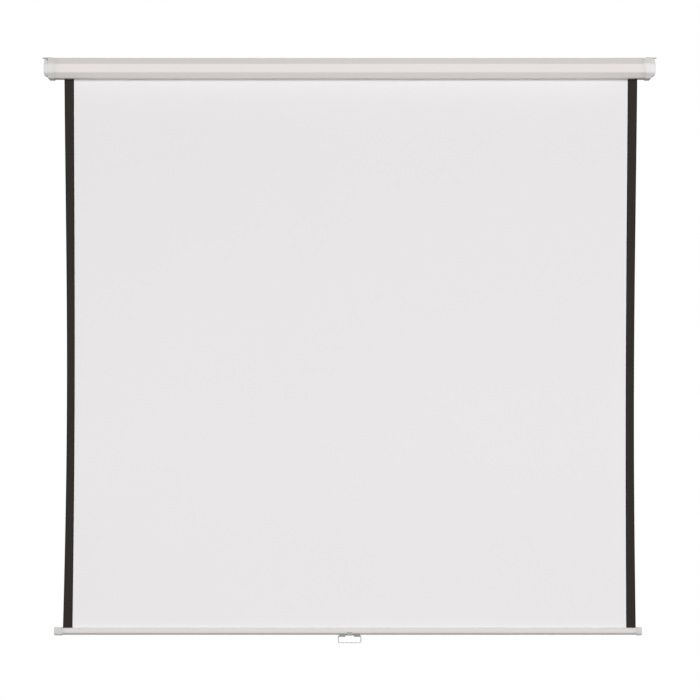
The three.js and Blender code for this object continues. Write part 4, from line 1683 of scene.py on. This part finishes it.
@dataclass
class Screen(Assembly):
    """The hanging sheet with its two borders, its hem, and its turns on the roller."""

    cloth: Cloth = field(default_factory=Cloth)
    border_top: float = -6.0
    border_thickness: float = 0.2
    border_depth: float = -0.6
    border_columns: int = 4
    wrap_outer: float = 17.9
    wrap_pitch: float = 0.7
    wrap_turns: float = 2.0
    wrap_columns: int = 24
    wrap_rows: int = 128
    axis: Point2 = ROLLER_AXIS
    hem_z: float = -1760.2
    hem_outer: float = 3.7
    hem_wall: float = 0.4
    hem_sides: int = 40
    travel: float = 1718.5

    def strip(
        self, name: str, former: Former, edges: Point2, top: float, depth: float, columns: int,
        finish: Finishes,
    ) -> bpy.types.Object:
        """Lays a strip of the sheet.

        Args:
            name: the piece's name.
            former: the hanging sheet's tree.
            edges: the flat distances of its left and right edge from the middle.
            top: its top.
            depth: how far it stands behind the sheet's middle plane.
            columns: how many columns it has.
            finish: its front.

        Returns:
            The strip, still without thickness.
        """
        return former.piece(name, {
            "First": edges[0] * MM, "Last": edges[1] * MM, "Top": top * MM,
            "Bottom": self.cloth.bottom * MM, "Depth": depth * MM,
            "Columns": columns, "Rows": self.cloth.rows,
        }, finish)

    def build_sheet(self, former: Former) -> bpy.types.Object:
        """Makes the white sheet with its black back."""
        cloth, half = self.cloth, self.cloth.half_width
        edges = (-half, half)
        sheet = self.strip(
            "hanging_sheet", former, edges, cloth.top, 0.0, cloth.columns, Finishes.CLOTH
        )
        cloth.thickened(sheet, cloth.thickness, Finishes.BACKING)
        return self.dress(sheet, None, "case", "sheet_white", "screen_sheet")

    def build_border(self, former: Former, word: str, edges: Point2) -> bpy.types.Object:
        """Makes one of the black borders."""
        border = self.strip(
            f"{word}_border", former, edges, self.border_top, self.border_depth,
            self.border_columns, Finishes.BORDER,
        )
        self.cloth.thickened(border, self.border_thickness)
        return self.dress(border, None, "case", "border_black", f"{word}_black_border")

    def build(self) -> None:
        """Makes and dresses every piece of cloth, and gives each hanging piece its own mesh."""
        cloth, half, seam = self.cloth, self.cloth.half_width, self.cloth.seam
        former = cloth.hanging()
        sheet = self.build_sheet(former)
        borders = [
            self.build_border(former, "left", (-half, -seam)),
            self.build_border(former, "right", (seam, half)),
        ]
        hem = self.build_hem()
        wound = self.build_wound()
        for piece, top in ((sheet, cloth.top), *((border, self.border_top) for border in borders)):
            anchor = (0.0, cloth.plane * MM, top * MM)
            keep = 1 - self.travel / (top - cloth.bottom)
            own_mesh(piece)

    def build_hem(self) -> bpy.types.Object:
        """Makes the hem's sleeve round its rod."""
        outer, inner = self.hem_outer, self.hem_outer - self.hem_wall
        half = self.cloth.half_width
        profile = [(-half, inner), (-half, outer), (half, outer), (half, inner), (-half, inner)]
        sleeve = turned(profile, (self.cloth.plane, self.hem_z), self.hem_sides)
        hem = softened(sleeve.piece("hem_sleeve"), 0)
        edit = bmesh.new()
        edit.from_mesh(hem.data)
        layer = edit.loops.layers.uv.new(self.cloth.uv_name)
        for face in edit.faces:
            for corner in face.loops:
                corner[layer].uv = (corner.vert.co.x, corner.vert.co.y + corner.vert.co.z)
        edit.to_mesh(hem.data)
        edit.free()
        return self.dress(hem, Finishes.CLOTH, "bar", "sheet_white", "sheet_hem")

    def build_wound(self) -> bpy.types.Object:
        """Makes the turns on the roller."""
        wound = self.cloth.wound().piece("wound_sheet", {
            "Outer": self.wrap_outer * MM, "Pitch": self.wrap_pitch * MM, "Turns": self.wrap_turns,
            "Columns": self.wrap_columns, "Rows": self.wrap_rows,
            "Axis Y": self.axis[0] * MM, "Axis Z": self.axis[1] * MM,
        }, Finishes.CLOTH)
        self.cloth.thickened(wound, self.cloth.thickness)
        return self.dress(wound, None, "roller", "sheet_white", "sheet_on_roller")


@dataclass
class Roller(Assembly):
    """What turns and what stands still inside the case. Most solids stay and get a finish."""

    axis: Point2 = ROLLER_AXIS
    coil_radius: float = 9.0
    coil_wire: float = 1.1
    coil_turns: float = 20.0
    coil_steps: int = 28
    coil_sides: int = 10
    finishes: tuple[tuple[str, Finishes], ...] = (
        ("roller_tube", Finishes.TUBE),
        ("spring_end_plug", Finishes.NYLON),
        ("idle_end_plug", Finishes.NYLON),
        ("idle_pin", Finishes.ZINC),
        ("idle_bush", Finishes.NYLON),
        ("spear_shaft", Finishes.ZINC),
        ("notched_collar", Finishes.SPRING),
        ("spring_hub", Finishes.NYLON),
        ("pawl_a", Finishes.SPRING),
        ("pawl_b", Finishes.SPRING),
        ("pawl_pin_a", Finishes.ZINC),
        ("pawl_pin_b", Finishes.ZINC),
        ("hem_rod", Finishes.ZINC),
    )

    def build_coil(self) -> bpy.types.Object:
        """Makes the spring, as long as the solid that it replaces."""
        low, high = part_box("torsion_spring")
        start, end = low.x / MM + self.coil_wire, high.x / MM - self.coil_wire
        coil = spring_former().piece("wound_spring", {
            "Radius": self.coil_radius * MM, "Wire": self.coil_wire * MM, "Turns": self.coil_turns,
            "Length": (end - start) * MM, "Steps": self.coil_steps, "Sides": self.coil_sides,
            "Start": (start * MM, self.axis[0] * MM, self.axis[1] * MM),
        }, Finishes.SPRING)
        return self.dress(softened(coil, 0), None, "case", "spring_steel", "torsion_spring")

    def build(self) -> None:
        """Makes the spring, and dresses the solids that stay."""
        self.build_coil()
        for node, finish in self.finishes:
            self.pieces[node] = frame["nodes"][node]
            for slot in self.pieces[node].material_slots:
                slot.link = "OBJECT"
                slot.material = finish.material()


@dataclass
class BottomBar(Assembly):
    """The bar that weighs the sheet down, with a cap over each end."""

    plane: float = SHEET_PLANE
    top: float = -1755.0
    half_length: float = 901.0
    height: float = 22.5
    depth: float = 16.0
    wall: float = 1.2
    radius: float = 6.0
    low_radius: float = 7.8
    rim: float = 0.15
    slot: float = 3.0
    lip: float = 3.0
    lip_radius: float = 0.8
    lip_inner_radius: float = 0.3
    sections: int = 9
    cap_left: float = 27.0
    cap_right: float = 17.0
    cap_proud: float = 1.8
    cap_plug: float = 18.0
    cap_wall: float = 2.0
    cap_end_wall: float = 4.0
    cap_edge: float = 0.6
    cap_round: float = 3.2
    cap_steps: int = 6
    groove_depth: float = 0.7
    groove_places: tuple[float, ...] = (2.6, 2.9, 3.9, 4.2)
    rod_room: float = 4.2
    rod_room_low: float = 9.4
    rod_room_high: float = 0.2

    def ring(self, inset: float, x: float) -> np.ndarray:
        """Gives the bar's outline at an x, shrunk by an inset."""
        y = self.depth / 2 - inset
        low = inset - self.height
        chain = [(0.0, -inset), (y, -inset), (y, low), (-y, low), (-y, -inset), (0.0, -inset)]
        radii = [self.radius, self.low_radius, self.low_radius, self.radius]
        outline = filleted(chain, [max(radius - inset, self.wall) for radius in radii])[:-1]
        return ring_at(x, outline + (self.plane, self.top))

    def build_bar(self) -> bpy.types.Object:
        """Makes the bar: a rounded tube, open along its top where the sheet goes in."""
        y, slot = self.depth / 2, self.slot / 2
        right = [(slot, -self.lip), (slot, 0.0), (y, 0.0), (y, -self.height)]
        chain = np.array(right + [(-across, up) for across, up in reversed(right)])
        radii = [self.lip_radius, self.radius, self.low_radius]
        outer, inner = wall_chains(
            chain + (self.plane, self.top), radii + radii[::-1], self.wall, self.lip_inner_radius
        )
        places = np.linspace(-self.half_length, self.half_length, self.sections)
        return softened(wall_along(outer, inner, places).piece("bar_body"), self.rim)

    def collar(self, length: float) -> Shell:
        """Makes the part of a cap that stands past the bar's end, with a groove round it."""
        end, proud, edge = self.half_length, self.cap_proud, self.cap_edge
        low = self.groove_depth - proud
        insets = zip((-proud, low, low, -proud), self.groove_places)
        places = [(edge - proud, end), (-proud, end + edge)]
        places += [(inset, end + place) for inset, place in insets]
        for rise, away in quarter_round(self.cap_steps):
            x = end + length - self.cap_round * (1 - rise)
            places.append((-proud + self.cap_round * away, x))
        return loft([self.ring(inset, x) for inset, x in places])

    def build_cap(self, side: int, length: float) -> bpy.types.Object:
        """Makes an end cap of the bar.

        Args:
            side: -1 for the left one, 1 for the right one.
            length: how far it goes past the bar's end.

        Returns:
            The cap.
        """
        end, start = self.half_length, self.half_length - self.cap_plug
        inset = self.wall + CLEARANCE
        inner = inset + self.cap_wall
        plug = loft([self.ring(inset, start), self.ring(inset, end + OVERRUN)])
        stop = end + length - self.cap_end_wall
        hollow = loft([self.ring(inner, start - OVERRUN), self.ring(inner, stop)])
        room = block(
            (start - OVERRUN, self.plane - self.rod_room, self.top - self.rod_room_low),
            (end, self.plane + self.rod_room, self.top - self.rod_room_high),
        )
        word = "left" if side < 0 else "right"
        piece = carved(
            f"{word}_bar_end",
            [shell.on_side(side) for shell in (self.collar(length), plug)],
            [shell.on_side(side) for shell in (hollow, room)],
        )
        return softened(piece, 0, HARD_EDGE)

    def build(self) -> None:
        """Makes and dresses the bar and its caps."""
        self.dress(self.build_bar(), Finishes.BAR, "bar", "bar_paint", "bottom_bar")
        for side, length, word in ((-1, self.cap_left, "left"), (1, self.cap_right, "right")):
            cap = self.build_cap(side, length)
            self.dress(cap, Finishes.BAR_CAP, "bar", "cap_plastic", f"{word}_bar_cap")


@dataclass
class Pull(Assembly):
    """The wire pull, the bracket that it swings in and the bracket's two screws."""

    screw: ScrewShape = field(default_factory=lambda: ScrewShape(length=6.0))
    plane: float = SHEET_PLANE
    hinge_z: float = -1780.9
    width: float = 71.0
    drop: float = 21.0
    wire: float = 1.6
    wire_edge: float = 50.0
    bend: float = 5.0
    knee: float = 3.2
    bend_steps: int = 12
    knuckle: float = 3.4
    knuckle_start: float = 13.0
    knuckle_end: float = 33.0
    plate: float = 1.5
    plate_depth: float = 13.0
    plate_rim: float = 0.25
    tab_width: float = 16.0
    tab_height: float = 10.0
    bar_depth: float = 16.0
    bore: float = 2.0
    bore_reach: float = 4.0
    screw_z: float = 9.9

    def build_bracket(self) -> bpy.types.Object:
        """Makes the bracket: a plate under the bar, a tab on its front and two rolled knuckles."""
        top, low = self.knuckle, self.knuckle - self.plate
        half, tab, face = self.plate_depth / 2, self.tab_width / 2, -self.bar_depth / 2
        front, start, end = face - self.plate, self.knuckle_start, self.knuckle_end
        joined = [
            block((-end, -half, low), (end, half, top)),
            block((-tab, front, low), (tab, 0.0, top)),
            block((-tab, front, low), (tab, face, top + self.tab_height)),
        ]
        knuckle = rod(self.knuckle, start, end)
        wire_way = rod(self.wire + CLEARANCE, start - OVERRUN, end + OVERRUN)
        screw_way = rod(self.bore, -self.bore_reach, self.bore_reach)
        joined += [knuckle.on_side(side) for side in (-1, 1)]
        cuts = [wire_way.on_side(side) for side in (-1, 1)]
        cuts.append(screw_way.swapped(1, 0, 2).moved(0.0, face, self.screw_z))
        cuts.append(screw_way.swapped(2, 1, 0).moved(0.0, 0.0, low))
        joined, cuts = (
            [shell.moved(0.0, self.plane, self.hinge_z) for shell in group]
            for group in (joined, cuts)
        )
        return softened(carved("pull_plate", joined, cuts), self.plate_rim, HARD_EDGE)

    def build_loop(self) -> bpy.types.Object:
        """Makes the wire loop, whose ends turn inwards into the knuckles."""
        leg, end = self.width / 2, self.knuckle_start + CLEARANCE
        left = [(-end, 0.0), (-leg, 0.0), (-leg, -self.drop)]
        corners = left + [(-across, up) for across, up in reversed(left)]
        radii = [self.knee, self.bend, self.bend, self.knee]
        chain = filleted(corners, radii, self.bend_steps)
        across, up = chain[:, 0], chain[:, 1] + self.hinge_z
        path = np.column_stack([across, np.full(len(chain), self.plane), up])
        return softened(swept(path, self.wire).piece("pull_loop"), 0, self.wire_edge)

    def build(self) -> None:
        """Makes and dresses the pull, its bracket and the screws."""
        self.dress(self.build_bracket(), Finishes.PLATE, "bar", "zinc_steel", "pull_bracket")
        self.dress(self.build_loop(), Finishes.WIRE, "pull", "bright_wire", "pull_handle")
        quarter = math.pi / 2
        front = (0.0, self.plane - self.bar_depth / 2 - self.plate, self.hinge_z + self.screw_z)
        under = (0.0, self.plane, self.hinge_z + self.knuckle - self.plate)
        for word, start, turn in (
            ("front", front, (0.0, 0.0, -quarter)),
            ("under", under, (0.0, quarter, 0.0)),
        ):
            made = self.screw.row(f"{word}_pull_screw", Finishes.PLATE, start, turn)
            self.dress(made, None, "bar", "zinc_steel", f"pull_screw_{word}")


# The room


@dataclass(frozen=True)
class Lamp:
    """A soft lamp. Its level is the share of a written colour that a face turned to it shows."""

    name: str
    place: Point3
    target: Point3
    width: float
    height: float
    level: float
    shines: bool = False

    def build(self) -> bpy.types.Object:
        """Makes the lamp."""
        data = bpy.data.lights.new(self.name, "AREA")
        data.shape = "RECTANGLE"
        data.size, data.size_y = self.width, self.height
        way = Vector(self.target) - Vector(self.place)
        data.energy = self.level * math.pi ** 2 * way.length_squared
        made = bpy.data.objects.new(self.name, data)
        made.location = self.place
        made.rotation_euler = way.to_track_quat("-Z", "Y").to_euler()
        made.visible_camera = False
        made.visible_glossy = self.shines
        bpy.context.scene.collection.objects.link(made)
        return made


@dataclass
class Studio:
    """The camera, the lamps, the white surroundings and the floor. Metres."""

    camera_place: Point3 = (0.0012, -6.0131, -0.8825)
    lens: float = 98.18
    sensor: float = 36.0
    clip_end: float = 60.0
    ambient: float = 0.02
    floor_finish: StudioFloor = StudioFloor("pale floor", (244, 244, 243), 0.8)
    floor_place: Point3 = (0.0, -0.75, -2.4)
    lamps: tuple[Lamp, ...] = (
        Lamp("front lamp", (0.3, -11.0, 0.5), (0.0, 0.0, -0.9), 4.5, 4.5, 0.9),
        Lamp("top lamp", (0.25, -0.25, 1.2), (0.2, -0.05, 0.0), 0.6, 0.2, 0.03, True),
        Lamp("left lamp", (-7.0, -1.6, 0.1), (0.0, 0.0, -0.6), 2.5, 2.5, 0.25, True),
        Lamp("right lamp", (7.0, -1.6, 0.1), (0.0, 0.0, -0.6), 2.5, 2.5, 0.26, True),
        Lamp("back lamp", (0.0, 7.0, 5.5), (0.0, 0.0, -0.9), 4.0, 4.0, 0.75, True),
    )

    def build(self) -> None:
        """Makes the room."""
        data = bpy.data.cameras.new("camera")
        data.lens, data.sensor_width = self.lens, self.sensor
        data.clip_end = self.clip_end
        camera = bpy.data.objects.new("camera", data)
        camera.location = self.camera_place
        camera.rotation_euler = (math.pi / 2, 0.0, 0.0)
        bpy.context.scene.collection.objects.link(camera)
        bpy.context.scene.camera = camera
        bpy.context.scene.view_settings.view_transform = "Standard"
        for lamp in self.lamps:
            lamp.build()
        self.build_world()
        self.build_floor()

    def build_world(self) -> None:
        """Makes the surroundings: white where they are seen, and dim where they light."""
        world = bpy.data.worlds.new("white room")
        world.use_nodes = True
        world.node_tree.nodes.clear()
        graph = Graph(world.node_tree)
        seen = graph.seen_by("Camera", "Glossy", "Transmission")
        strength = self.ambient + seen * (1 - self.ambient)
        sky = {"Color": (1.0, 1.0, 1.0, 1.0), "Strength": strength}
        back = graph.wire("ShaderNodeBackground", "Background", None, sky)
        graph.node("ShaderNodeOutputWorld", None, {"Surface": back})
        bpy.context.scene.world = world

    def build_floor(self) -> None:
        """Makes the pale floor under the screen."""
        x, y = self.floor_finish.reach
        mesh = bpy.data.meshes.new("floor")
        mesh.from_pydata([(-x, -y, 0), (x, -y, 0), (x, y, 0), (-x, y, 0)], [], [(0, 1, 2, 3)])
        floor = bpy.data.objects.new("floor", mesh)
        floor.location = self.floor_place
        bpy.context.scene.collection.objects.link(floor)
        mesh.materials.append(self.floor_finish.material())


def main() -> None:
    """Builds the room and the screen, and reports each piece's faces and bodies."""
    logging.basicConfig(level=logging.INFO, format="%(message)s")
    Studio().build()
    case = Case()
    ends = [EndFittings(case=case, side=side) for side in (-1, 1)]
    for assembly in (Screen(), case, *ends, Roller(), BottomBar(), Pull()):
        assembly.build()
        for name, piece in assembly.pieces.items():
            bodies = ", ".join(body_of(piece))
            LOG.info("%s: %d faces on %s", name, len(piece.data.polygons), bodies)


if __name__ == "__main__":
    main()
